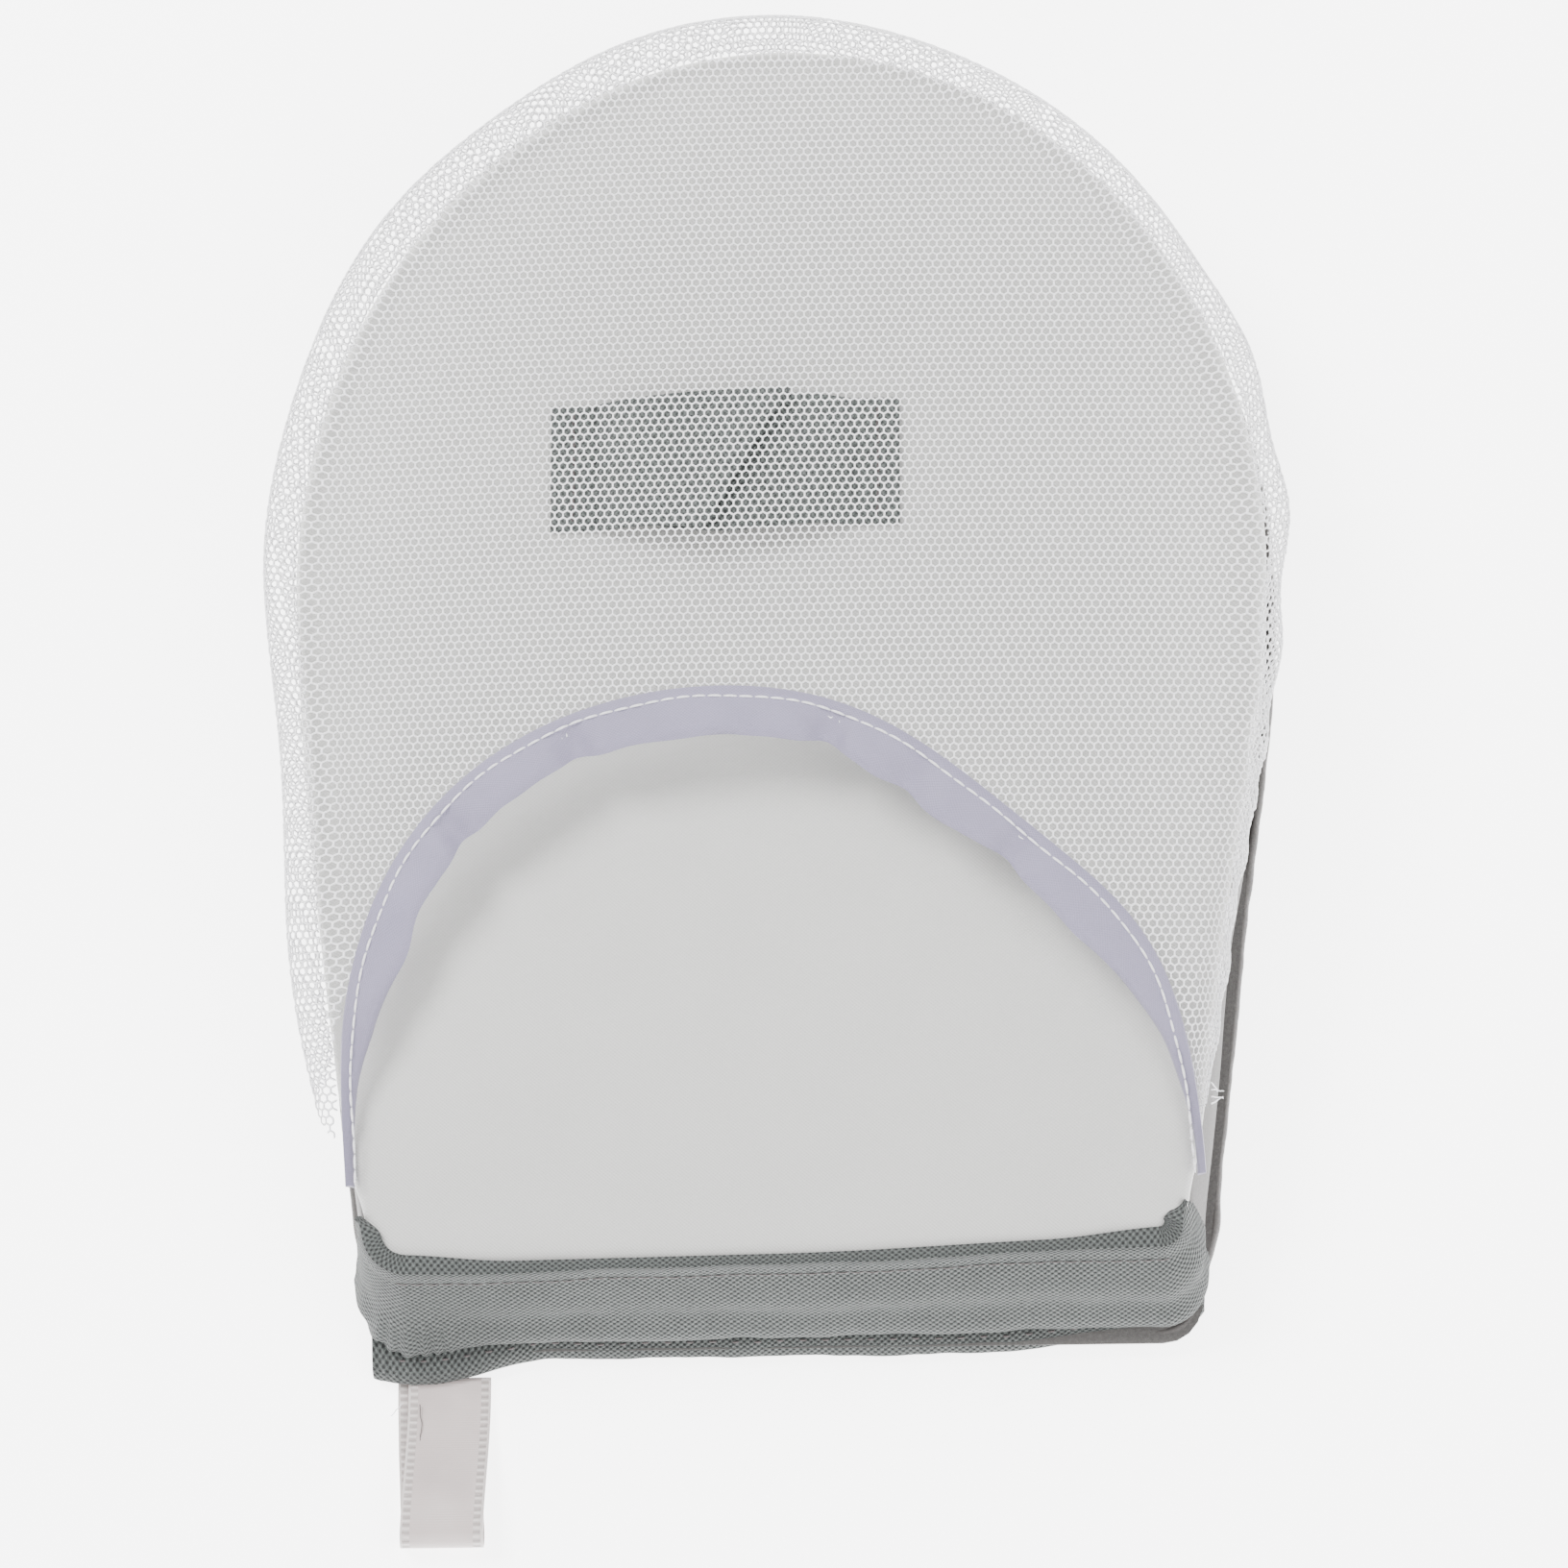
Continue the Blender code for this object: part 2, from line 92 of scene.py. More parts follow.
def add_camera():
    """A long lens almost straight above, a little to the mitt's right and heel, rolled as the mitt lies."""
    distance, elevation, sideways, roll = 1.14, 78.0, 0.07, -0.3
    aim = Vector((0.0012, -0.0045, 0.030))
    data = bpy.data.cameras.new("camera")
    data.sensor_width = 36.0
    data.lens = 150.0
    camera = add_object("camera", data)
    lift = math.radians(elevation)
    away = Vector((sideways, -math.cos(lift), math.sin(lift))).normalized()
    camera.location = aim + away * distance
    across = Vector((0, 1, 0)).cross(away).normalized()
    axes = Matrix((across, away.cross(across), away)).transposed()
    camera.rotation_euler = (axes @ Matrix.Rotation(math.radians(roll), 3, "Z")).to_euler()
    bpy.context.scene.camera = camera


def add_area(name, place, size, power):
    data = bpy.data.lights.new(name, "AREA")
    data.shape = "DISK"
    data.size = size
    data.energy = power
    lamp = add_object(name, data)
    lamp.location = place
    lamp.rotation_euler = (-Vector(place)).to_track_quat("-Z", "Y").to_euler()


def add_studio():
    add_area("key_light", (-0.9, 0.8, 1.5), 0.8, 48)
    add_area("fill_light", (1.1, -0.5, 1.3), 1.3, 25)
    add_area("heel_light", (-0.2, -1.4, 0.8), 0.8, 10)
    world = bpy.data.worlds.new("studio")
    world.use_nodes = True
    background = world.node_tree.nodes["Background"]
    background.inputs["Color"].default_value = (1, 1, 1, 1)
    background.inputs["Strength"].default_value = 1.45
    bpy.context.scene.world = world
    mesh = bpy.data.meshes.new("floor")
    mesh.from_pydata([(-4, -4, 0), (4, -4, 0), (4, 4, 0), (-4, 4, 0)], [], [(0, 1, 2, 3)])
    paper = Shader("paper", 0.9, Base_Color=(0.93, 0.93, 0.93, 1), Emission_Color=(1, 1, 1, 1),
                   Emission_Strength=4.2)
    mesh.materials.append(paper.material)
    add_object("floor", mesh)


# --- small mathematics ---


def smooth(t):
    t = np.clip(t, 0.0, 1.0)
    return t * t * (3 - 2 * t)


def hump(x, middle, width):
    """A smooth bump of height 1."""
    return np.exp(-(((x - middle) / width) ** 2))


def wobble(points, size, seed):
    """Smooth noise between -1 and 1 at each point, with features of that size."""
    shift = Vector((13.7 * seed, 7.3 * seed, 3.1 * seed))
    return np.array([noise.noise(Vector(p) / size + shift) for p in points]) * 1.6


def wobble_line(values, size, seed):
    return wobble(np.column_stack([values, np.zeros((len(values), 2))]), size, seed)


# --- the outline ---

HEEL_Y = GUSSET[0][1] + 1.0
TOE_Y = (BAND[1][1] + FACE[1][1]) / 2
HALF = (BAND[1][0] + FACE[1][0]) / 2
WIDEST_Y = HEEL_Y + 0.581 * (TOE_Y - HEEL_Y)
HEEL_HALF = 0.844 * HALF
CORNER = 0.104 * HALF
LEAN = LINING[0][1] - 3.0 - HEEL_Y
WALL_FOOT, WALL_TOP = BAND[0][2], BAND[1][2]
TAPER = 1.5
HEEL_STEPS, CORNER_STEPS, SIDE_STEPS, TOE_STEPS = 60, 16, 90, 111


def heel_at(z):
    """The heel's y at height z: its wall slopes towards the toe."""
    return HEEL_Y + LEAN * min(1.0, max(0.0, (z - WALL_FOOT) / (WALL_TOP - WALL_FOOT)))


def side_at(y, heel):
    share = np.clip((WIDEST_Y - y) / (WIDEST_Y - heel), 0, 1.2)
    return HALF - (HALF - HEEL_HALF) * share**TAPER


def half_outline(heel):
    """The right half of the outline, from the heel's middle to the toe's tip, as (x, y) rows."""
    slope = (HALF - HEEL_HALF) * TAPER / (WIDEST_Y - heel)
    lean = math.atan(slope)
    join_y = heel + CORNER * (1 - math.sin(lean))
    corner_x = side_at(join_y, heel) - CORNER * math.cos(lean)
    t = np.linspace(0, 1, HEEL_STEPS, endpoint=False)
    straight = np.column_stack([corner_x * t, np.full(HEEL_STEPS, heel)])
    t = np.linspace(0, 1, CORNER_STEPS, endpoint=False)
    a = -math.pi / 2 + (math.pi / 2 - lean) * t
    corner = np.column_stack([corner_x + CORNER * np.cos(a), heel + CORNER * (1 + np.sin(a))])
    y = join_y + (WIDEST_Y - join_y) * np.linspace(0, 1, SIDE_STEPS, endpoint=False)
    side = np.column_stack([side_at(y, heel), y])
    a = np.linspace(0, math.pi / 2, TOE_STEPS)
    toe = np.column_stack([HALF * np.cos(a), WIDEST_Y + (TOE_Y - WIDEST_Y) * np.sin(a)])
    return np.vstack([straight, corner, side, toe])


CORNER_LAST = HEEL_STEPS + CORNER_STEPS
STATIONS = 2 * (CORNER_LAST + SIDE_STEPS + TOE_STEPS) - 2


def outline(heel):
    """(points, outward normals) round the outline, counterclockwise from the heel's middle."""
    right = half_outline(heel)
    left = right[1:-1][::-1] * [-1, 1]
    points = np.vstack([right, left])
    along = np.roll(points, -1, axis=0) - np.roll(points, 1, axis=0)
    along /= np.linalg.norm(along, axis=1)[:, None]
    return points, np.column_stack([along[:, 1], -along[:, 0]])


def ring(inset, z):
    """The outline at height z, moved in by inset, which may differ from station to station."""
    points, normals = outline(heel_at(float(np.mean(z))))
    inset = np.broadcast_to(inset, len(points))
    return np.column_stack([points - normals * inset[:, None], np.broadcast_to(z, len(points))])


def run_length(points):
    """Distance along a row of points, starting at 0."""
    steps = np.linalg.norm(np.diff(points, axis=0), axis=1)
    return np.concatenate([[0], np.cumsum(steps)])


# --- heights read from the frame ---


def surface_of(*nodes):
    """A function that gives the highest z of those CAD nodes at (x, y), or None beside them."""
    points, faces = [], []
    for node in nodes:
        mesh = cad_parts[node].data
        first = len(points)
        points += [v.co / MM for v in mesh.vertices]
        faces += [[first + i for i in p.vertices] for p in mesh.polygons]
    tree = BVHTree.FromPolygons(points, faces)

    def height(x, y):
        hit = tree.ray_cast(Vector((x, y, 200.0)), Vector((0, 0, -1)))[0]
        return None if hit is None else hit.z

    return height


def neighbours(grid, **padding):
    """The grid and its eight copies shifted by one square."""
    padded = np.pad(grid, 1, **padding)
    rows, columns = grid.shape
    return [padded[a : a + rows, b : b + columns] for a in range(3) for b in range(3)]


class Field:
    """Heights on a square grid, so that thousands of points can be read at once. Empty squares take the
    mean of their filled neighbours until none is left, and the whole is smoothed twice."""

    def __init__(self, height, low, high, step):
        self.low, self.step = np.array(low, float), step
        counts = [int((h - l) / step) + 2 for l, h in zip(low, high)]
        grid = np.full(counts, np.nan)
        for i in range(counts[0]):
            for j in range(counts[1]):
                z = height(low[0] + i * step, low[1] + j * step)
                if z is not None:
                    grid[i, j] = z
        while np.isnan(grid).any():
            near = neighbours(grid, constant_values=np.nan)
            known = [~np.isnan(n) for n in near]
            total = sum(np.where(k, n, 0) for k, n in zip(known, near))
            count = sum(k.astype(int) for k in known)
            fill = np.isnan(grid) & (count > 0)
            grid[fill] = total[fill] / count[fill]
        for _ in range(2):
            grid = sum(neighbours(grid, mode="edge")) / 9
        self.grid = grid

    def __call__(self, x, y):
        u = np.clip((np.asarray(x, float) - self.low[0]) / self.step, 0, self.grid.shape[0] - 1.001)
        v = np.clip((np.asarray(y, float) - self.low[1]) / self.step, 0, self.grid.shape[1] - 1.001)
        i, j = u.astype(int), v.astype(int)
        a, b = u - i, v - j
        g = self.grid
        low = g[i, j] * (1 - b) + g[i, j + 1] * b
        high = g[i + 1, j] * (1 - b) + g[i + 1, j + 1] * b
        return low * (1 - a) + high * a


SHOULDER_INSET = 7.0
FIELD_INSET = 7.5  # the CAD's heights are read this far inside the outline


def inside_only(height, inset):
    """That height function, kept to the inside of the outline."""
    points = ring(inset, WALL_TOP)[:, :2]
    right = points[points[:, 0] >= 0]
    xs, ys = right[np.argsort(right[:, 1])].T

    def limited(x, y):
        if y < ys[0] or y > ys[-1] or abs(x) > np.interp(y, ys, xs):
            return None
        return height(x, y)

    return limited


def read_field(*nodes):
    height = inside_only(surface_of(*nodes), FIELD_INSET)
    return Field(height, (-HALF, HEEL_Y), (HALF, TOE_Y), 2.0)


lining_field = read_field("lining_panel")
net_field = read_field("net_panel", "mouth_binding")


# --- meshes ---


def add_piece(name, points, faces, body, slot, uv=None, material=None, closed=False):
    """A mesh object from points in millimetres, riding on a body. uv gives each point's (u, v) on its cloth,
    in millimetres, for the weave. Its material has the slot's name unless another is named. A closed piece's
    faces are made to point out."""
    mesh = bpy.data.meshes.new(name)
    mesh.from_pydata((np.asarray(points) * MM).tolist(), [], faces)
    if uv is not None:
        layer = mesh.uv_layers.new(name="cloth")
        corners = np.empty(len(mesh.loops), int)
        mesh.loops.foreach_get("vertex_index", corners)
        layer.data.foreach_set("uv", np.asarray(uv, np.float32)[corners].ravel())
    mesh.shade_smooth()
    mesh.materials.append(MATERIALS[material or slot])
    if closed:
        bm = bmesh.new()
        bm.from_mesh(mesh)
        bmesh.ops.recalc_face_normals(bm, faces=bm.faces)
        bm.to_mesh(mesh)
        bm.free()
    obj = add_object(name, mesh)
    if body:
        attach(obj, body)
    return obj


def grid_faces(rows, columns, loop=False, flip=False):
    """Quads over a grid of points stored row by row. loop joins the last column to the first."""
    faces = []
    for r in range(rows - 1):
        for c in range(columns if loop else columns - 1):
            d = (c + 1) % columns
            quad = (r * columns + c, r * columns + d, (r + 1) * columns + d, (r + 1) * columns + c)
            faces.append(quad[::-1] if flip else quad)
    return faces


def closed_faces(rows, sides, flip=False):
    """Faces of a closed tube stored ring by ring, with both its ends."""
    first, last = list(range(sides)), list(range((rows - 1) * sides, rows * sides))
    ends = [first, last[::-1]] if flip else [first[::-1], last]
    return grid_faces(rows, sides, True, flip) + ends


def add_cloth(name, rows, body, slot, thickness, uv, loop=False, flip=False, cap=False, material=None):
    """A cloth through rows of points, with its thickness given inwards."""
    rows = [np.asarray(r, float) for r in rows]
    faces = grid_faces(len(rows), len(rows[0]), loop, flip)
    if cap:
        last = list(range((len(rows) - 1) * len(rows[0]), len(rows) * len(rows[0])))
        faces.append(last[::-1] if flip else last)
    obj = add_piece(name, np.vstack(rows), faces, body, slot, np.vstack(uv), material)
    solid = obj.modifiers.new("thickness", "SOLIDIFY")
    solid.thickness = thickness * MM
    solid.offset = -1
    depsgraph = bpy.context.evaluated_depsgraph_get()
    mesh = bpy.data.meshes.new_from_object(obj.evaluated_get(depsgraph))
    obj.modifiers.clear()
    obj.data = mesh
    return obj


def tube(path, up, radii, squash=1.0):
    """(points, faces) of a closed six-sided tube along a path; radii may vary from point to point."""
    along = np.gradient(path, axis=0)
    along /= np.linalg.norm(along, axis=1)[:, None] + 1e-12
    side = np.cross(along, up)
    side /= np.linalg.norm(side, axis=1)[:, None] + 1e-12
    lift = np.cross(side, along)
    radii = np.broadcast_to(radii, len(path))
    angles = np.arange(6) * 2 * math.pi / 6
    rows = [path + (side * math.cos(a) + lift * math.sin(a) * squash) * radii[:, None] for a in angles]
    points = np.stack(rows, axis=1).reshape(-1, 3)
    return points, closed_faces(len(path), 6, flip=True)


def gather(parts):
    """Joins (points, faces) pairs into one."""
    points, faces, first = [], [], 0
    for p, f in parts:
        points.append(p)
        faces += [[first + i for i in face] for face in f]
        first += len(p)
    return np.vstack(points), faces


def stitches(path, up, pitch, fill, radius, sink=0.12):
    """A row of stitches along a path: each dips into the cloth at both its ends."""
    path = np.asarray(path, float)
    where = run_length(path)
    count = max(1, int(where[-1] / pitch))
    up = np.broadcast_to(np.asarray(up, float), path.shape)
    parts = []
    for k in range(count):
        start = (k + (1 - fill) / 2) * where[-1] / count
        s = start + np.linspace(0, 1, 6) * where[-1] / count * fill
        spine = np.column_stack([np.interp(s, where, path[:, i]) for i in range(3)])
        lift = np.column_stack([np.interp(s, where, up[:, i]) for i in range(3)])
        arch = np.sin(np.linspace(0, 1, 6) * math.pi) ** 0.6
        spine = spine + lift * ((arch - 1) * radius * 1.6 + sink)[:, None]
        parts.append(tube(spine, lift, radius * (0.55 + 0.45 * arch), 0.8))
    return gather(parts)


# --- materials ---


class Shader:
    """Short calls for building a node tree round one Principled BSDF."""

    def __init__(self, name, roughness, sheen=0.0, **sockets):
        self.material = bpy.data.materials.new(name)
        self.material.use_nodes = True
        self.tree = self.material.node_tree
        self.bsdf = self.tree.nodes["Principled BSDF"]
        self.bsdf.inputs["Roughness"].default_value = roughness
        self.bsdf.inputs["Sheen Weight"].default_value = sheen
        for socket, value in sockets.items():
            self.bsdf.inputs[socket.replace("_", " ")].default_value = value

    def node(self, kind, **inputs):
        made = self.tree.nodes.new(kind)
        for key, value in inputs.items():
            self.feed(made.inputs[key.replace("_", " ")], value)
        return made

    def feed(self, socket, value):
        if isinstance(value, bpy.types.NodeSocket):
            self.tree.links.new(value, socket)
        else:
            socket.default_value = value

    def math(self, operation, a, b=0.0):
        made = self.tree.nodes.new("ShaderNodeMath")
        made.operation = operation
        self.feed(made.inputs[0], a)
        self.feed(made.inputs[1], b)
        return made.outputs[0]

    def cloth_uv(self):
        """The (u, v) place on the cloth, in millimetres."""
        made = self.tree.nodes.new("ShaderNodeUVMap")
        made.uv_map = "cloth"
        parts = self.node("ShaderNodeSeparateXYZ", Vector=made.outputs[0])
        return parts.outputs["X"], parts.outputs["Y"]

    def place(self):
        return self.tree.nodes.new("ShaderNodeTexCoord").outputs["Object"]

    def noise(self, size, detail=3.0, rough=0.5):
        """Noise between 0 and 1 with features of that size in millimetres."""
        made = self.node("ShaderNodeTexNoise", Vector=self.place(), Scale=1 / (size * MM),
                         Detail=detail, Roughness=rough)
        return made.outputs["Fac"]

    def weave(self, u_yarn, v_yarn):
        """A plain weave between 0 and 1, high on the yarn that lies on top. Yarns are that wide, in mm."""
        u, v = self.cloth_uv()
        across = self.math("SINE", self.math("MULTIPLY", u, math.pi / u_yarn))
        along = self.math("SINE", self.math("MULTIPLY", v, math.pi / v_yarn))
        return self.half(self.math("MULTIPLY", across, along))

    def half(self, value):
        return self.math("ADD", self.math("MULTIPLY", value, 0.5), 0.5)

    def ramp(self, value, stops):
        made = self.tree.nodes.new("ShaderNodeValToRGB")
        self.feed(made.inputs["Fac"], value)
        ramp = made.color_ramp
        for extra in range(len(stops) - 2):
            ramp.elements.new(0.5)
        for element, (position, colour) in zip(ramp.elements, stops):
            element.position = position
            element.color = (*colour, 1)
        return made.outputs["Color"]

    def mix(self, share, a, b, blend="MIX"):
        made = self.tree.nodes.new("ShaderNodeMix")
        made.data_type = "RGBA"
        made.blend_type = blend
        self.feed(made.inputs[0], share)
        self.feed(made.inputs[6], a if isinstance(a, bpy.types.NodeSocket) else (*a, 1))
        self.feed(made.inputs[7], b if isinstance(b, bpy.types.NodeSocket) else (*b, 1))
        return made.outputs[2]

    def shaded(self, colour, value, low, share, high):
        """That colour, darkened to a share of itself where value is low."""
        shade = self.ramp(value, [(low, (share,) * 3), (high, (1.0,) * 3)])
        return self.mix(1.0, colour, shade, "MULTIPLY")

    def colour(self, value):
        self.feed(self.bsdf.inputs["Base Color"], value)

    def roughness(self, value, low, high):
        spread = self.math("MULTIPLY", value, high - low)
        self.feed(self.bsdf.inputs["Roughness"], self.math("ADD", spread, low))

    def bump(self, height, depth, strength=1.0):
        """Bumps of that depth in millimetres."""
        made = self.node("ShaderNodeBump", Height=height, Distance=depth * MM, Strength=strength)
        if self.bsdf.inputs["Normal"].links:
            self.tree.links.new(self.bsdf.inputs["Normal"].links[0].from_socket, made.inputs["Normal"])
        self.feed(self.bsdf.inputs["Normal"], made.outputs["Normal"])


def scaled(colour, factor):
    return tuple(min(1.0, c * factor) for c in colour)


def woven(name, colour, yarns, depth, contrast, roughness, sheen, patch, fuzz=0.0):
    """A woven cloth: yarn tops lighter than the gaps, slow patches of shade, and fibres of noise."""
    s = Shader(name, roughness, sheen)
    weave = s.weave(*yarns)
    patches = s.noise(14.0, 2.0)
    fibres = s.noise(0.35, 2.0, 0.7)
    dark, light = scaled(colour, 1 - contrast), scaled(colour, 1 + contrast * 0.6)
    ground = s.ramp(weave, [(0.15, dark), (0.75, light)])
    patched = s.shaded(ground, patches, 0.3, 1 - patch, 0.7)
    s.colour(s.shaded(patched, fibres, 0.35, 1 - contrast * 0.5 - fuzz, 0.6))
    s.roughness(weave, roughness + 0.1, roughness - 0.05)
    s.bump(weave, depth)
    s.bump(fibres, depth * 0.4, 0.5)
    return s.material


def coated_cloth(name, colour):
    """Aluminium-coated cloth with a fine felt-like grain and faint creases, whose low parts are darkened as
    painted shade.
    """
    s = Shader(name, 0.5, 0.05, Metallic=0.1)
    grain = s.noise(0.5, 4.0, 0.75)
    creases = s.noise(9.0, 3.0, 0.6)
    ground = s.ramp(grain, [(0.3, scaled(colour, 0.72)), (0.7, scaled(colour, 1.2))])
    # Painted shade: the colour darkens where the crease bumps are low.
    s.colour(s.shaded(ground, creases, 0.3, 0.86, 0.7))
    s.roughness(grain, 0.62, 0.45)
    s.bump(grain, 0.12)
    s.bump(creases, 0.5, 0.6)
    return s.material


def thread_material(name, colour):
    """Twisted sewing thread."""
    s = Shader(name, 0.6, 0.2)
    twist = s.noise(0.25, 2.0, 0.6)
    s.colour(s.ramp(twist, [(0.3, scaled(colour, 0.75)), (0.7, scaled(colour, 1.15))]))
    s.bump(twist, 0.05)
    return s.material


def ribbon_material():
    """Satin ribbon: a smooth middle with faint cross ribs, and ladder selvedges along both edges."""
    s = Shader("satin_ribbon", 0.38, 0.1, Anisotropic=0.4)
    u, v = s.cloth_uv()
    half = (LOOP[1][0] - LOOP[0][0]) / 2
    from_edge = s.math("SUBTRACT", half, s.math("ABSOLUTE", u))
    selvedge = s.math("LESS_THAN", from_edge, 1.9)
    rung = s.half(s.math("SINE", s.math("MULTIPLY", v, 2 * math.pi / 1.3)))
    slots = s.math("MULTIPLY", selvedge, s.math("GREATER_THAN", from_edge, 0.6))
    ladder = s.math("MULTIPLY", slots, s.math("SUBTRACT", 1.0, rung))
    ribs = s.half(s.math("SINE", s.math("MULTIPLY", v, 2 * math.pi / 0.42)))
    body = s.ramp(s.noise(11.0, 2.0), [(0.3, (0.42, 0.36, 0.35)), (0.7, (0.51, 0.445, 0.43))])
    edge = s.mix(ladder, (0.60, 0.55, 0.53), (0.32, 0.28, 0.27))
    s.colour(s.mix(selvedge, body, edge))
    s.roughness(ribs, 0.45, 0.34)
    s.bump(ribs, 0.03, 0.5)
    s.bump(s.math("SUBTRACT", selvedge, ladder), 0.25)
    return s.material


def foam_material():
    s = Shader("foam", 0.95)
    pores = s.node("ShaderNodeTexVoronoi", Vector=s.place(), Scale=1 / (1.1 * MM)).outputs["Distance"]
    s.colour(s.ramp(pores, [(0.05, (0.52, 0.48, 0.38)), (0.5, (0.85, 0.82, 0.71))]))
    s.bump(pores, 0.3)
    return s.material


def felt_seam_shadow_material():
    s = Shader("felt", 0.95, 0.3)
    fibres = s.noise(0.6, 5.0, 0.8)
    # Painted shade: the felt is dark grey so that its edge, where it shows between face and band, reads as
    # the seam's shadow.
    s.colour(s.ramp(fibres, [(0.3, (0.07, 0.066, 0.064)), (0.7, (0.13, 0.125, 0.12))]))
    s.bump(fibres, 0.3)
    return s.material


def net_material():
    """White polyester yarn."""
    s = Shader("white_net", 0.45, 0.25)
    yarn = s.noise(0.5, 2.0, 0.6)
    s.colour(s.ramp(yarn, [(0.3, (0.94, 0.935, 0.955)), (0.7, (0.985, 0.98, 0.995))]))
    return s.material


GREY = (0.084, 0.094, 0.090)
COATED = (0.075, 0.069, 0.066)
# Blender numbers a name that the frame's own materials already have, and the number is left out here.
MATERIALS = {made.name.split(".")[0]: made for made in (
    woven("white_lining", (0.50, 0.497, 0.482), (0.36, 0.30), 0.05, 0.07, 0.5, 0.2, 0.03),
    woven("grey_oxford", GREY, (0.62, 0.52), 0.55, 0.85, 0.7, 0.12, 0.1, 0.1),
    # The strap's copy of the grey oxford, half again as light: painted light on the same cloth where it lies
    # under the net.
    woven("grey_strap", scaled(GREY, 1.5), (0.62, 0.52), 0.35, 0.5, 0.7, 0.12, 0.1, 0.05),
    woven("satin_tape", (0.245, 0.225, 0.325), (0.34, 0.26), 0.07, 0.12, 0.42, 0.15, 0.07),
    coated_cloth("coated_cloth", COATED),
    coated_cloth("coated_binding", scaled(COATED, 1.12)),
    ribbon_material(),
    net_material(),
    foam_material(),
    felt_seam_shadow_material(),
    thread_material("dark_thread", (0.085, 0.07, 0.07)),
    thread_material("white_thread", (0.80, 0.79, 0.82)),
)}


# --- the pad's walls, face and lining ---

SIDE_STATIONS = np.arange(CORNER_LAST - 2, STATIONS - CORNER_LAST + 3)
HEEL_STATIONS = np.arange(STATIONS - CORNER_LAST - 3, STATIONS + CORNER_LAST + 4)
RIGHT_FLARE = 1.1  # the right side's wall slopes out this much further at its foot
RIGHT_DRAWN = 2.4  # the right side's wall is drawn in this much along its heel half


def right_share(points):
    """How much of the right side's slope and draw there is: 1 along its heel half, 0 at the toe."""
    heel_half = smooth((22.0 - points[:, 1]) / 55)
    corner = 0.35 + 0.65 * smooth((points[:, 1] - HEEL_Y - 8) / 25)
    return smooth(points[:, 0] / 60) * heel_half * corner


HEEL_TUCK = 1.5  # how much further in the lining ends at the heel, under the gusset's folded edge
HEEL_TAPE_TUCK = 2.2  # how much further in the edge tape runs along the heel, under the hem


def heel_share(points):
    """1 along the heel and its corners, 0 along the sides."""
    return smooth((heel_at(float(points[0, 2])) + 22.0 - points[:, 1]) / 12)


def flared(points, z):
    """How far in the right side's wall stands at height z."""
    climb = max(0.0, (z - WALL_FOOT) / (WALL_TOP - WALL_FOOT))
    return right_share(points) * (RIGHT_DRAWN + RIGHT_FLARE * climb)


def uv_rows(rows):
    """Each point's place on its cloth: how far along the middle row, and how far down on average."""
    middle = rows[len(rows) // 2]
    u = run_length(middle)
    down = [0.0]
    for a, b in zip(rows, rows[1:]):
        down.append(down[-1] + float(np.mean(np.linalg.norm(b - a, axis=1))))
    return [np.column_stack([u, np.full(len(u), v)]) for v in down]


def make_side_band():
    section = [(1.2, WALL_FOOT - 0.3), (0.6, 6.5), (0.2, 9.5), (0.1, 12.5), (0.3, 16.0), (0.7, 19.0),
               (1.2, 21.2), (2.0, WALL_TOP + 0.2)]
    plan = ring(0.0, WALL_TOP)
    rows = []
    for k, (inset, z) in enumerate(section):
        waves = 0.45 * wobble(np.column_stack([plan[:, :2], np.full(len(plan), 6.0 * k)]), 22.0, 1)
        rows.append(ring(inset + flared(plan, z) + waves, z)[SIDE_STATIONS % STATIONS])
    band = add_cloth("side_band_cloth", rows, "pad", "coated_cloth", 0.9, uv_rows(rows))
    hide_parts("side_band")


def make_ironing_face():
    section = [(0.9, 3.1), (0.9, 1.7), (1.9, 0.55), (3.6, 0.12), (6.0, 0.04)]
    rows = [ring(inset + flared(ring(0.0, z), z), z) for inset, z in section]
    middle = rows[-1].mean(axis=0)
    rows += [middle + (rows[-1] - middle) * share for share in (0.8, 0.6, 0.4, 0.2)]
    uv = [r[:, :2] for r in rows]
    face = add_cloth("ironing_face_cloth", rows, "pad", "coated_cloth", 0.8, uv,
                     loop=True, flip=True, cap=True)
    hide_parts("ironing_face")


def cord_edge(name, inset, z, radii, stations, seed, loop, node):
    """A folded tape seen edge on: a flattened tube along the outline, with small irregular puckers."""
    plan = ring(inset, z)
    path = ring(inset + flared(plan, z) + HEEL_TAPE_TUCK * heel_share(plan), z)
    path[:, 2] += 0.25 * wobble(path, 9.0, seed)
    path = path[stations % STATIONS]
    normal = outline(heel_at(z))[1][stations % STATIONS]
    out = np.column_stack([normal, np.zeros(len(normal))])
    angles = np.arange(12) * math.pi / 6
    swell = 1 + 0.12 * wobble(path, 3.0, seed + 1)
    rows = []
    for a in angles:
        reach, lift = radii[0] * math.cos(a), radii[1] * math.sin(a)
        rows.append(path + out * (reach * swell)[:, None] + [0, 0, lift])
    points = np.stack(rows, axis=1).reshape(-1, 3)
    count = len(path)
    if loop:
        faces = [[i % len(points) for i in face] for face in grid_faces(count + 1, 12, loop=True)]
    else:
        faces = closed_faces(count, 12)
    obj = add_piece(name, points, faces, "pad", "coated_binding")
    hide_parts(node)


def make_bindings():
    low, high = BINDING[0][2], BINDING[1][2]
    radii = (0.95, (high - low) / 2)
    cord_edge("face_edge_tape", -0.4, (low + high) / 2, radii, np.arange(STATIONS), 5, True, "face_binding")
    cord_edge("rim_edge_tape", 1.5, 21.7, (0.7, 0.6), SIDE_STATIONS, 7, False, "rim_binding")


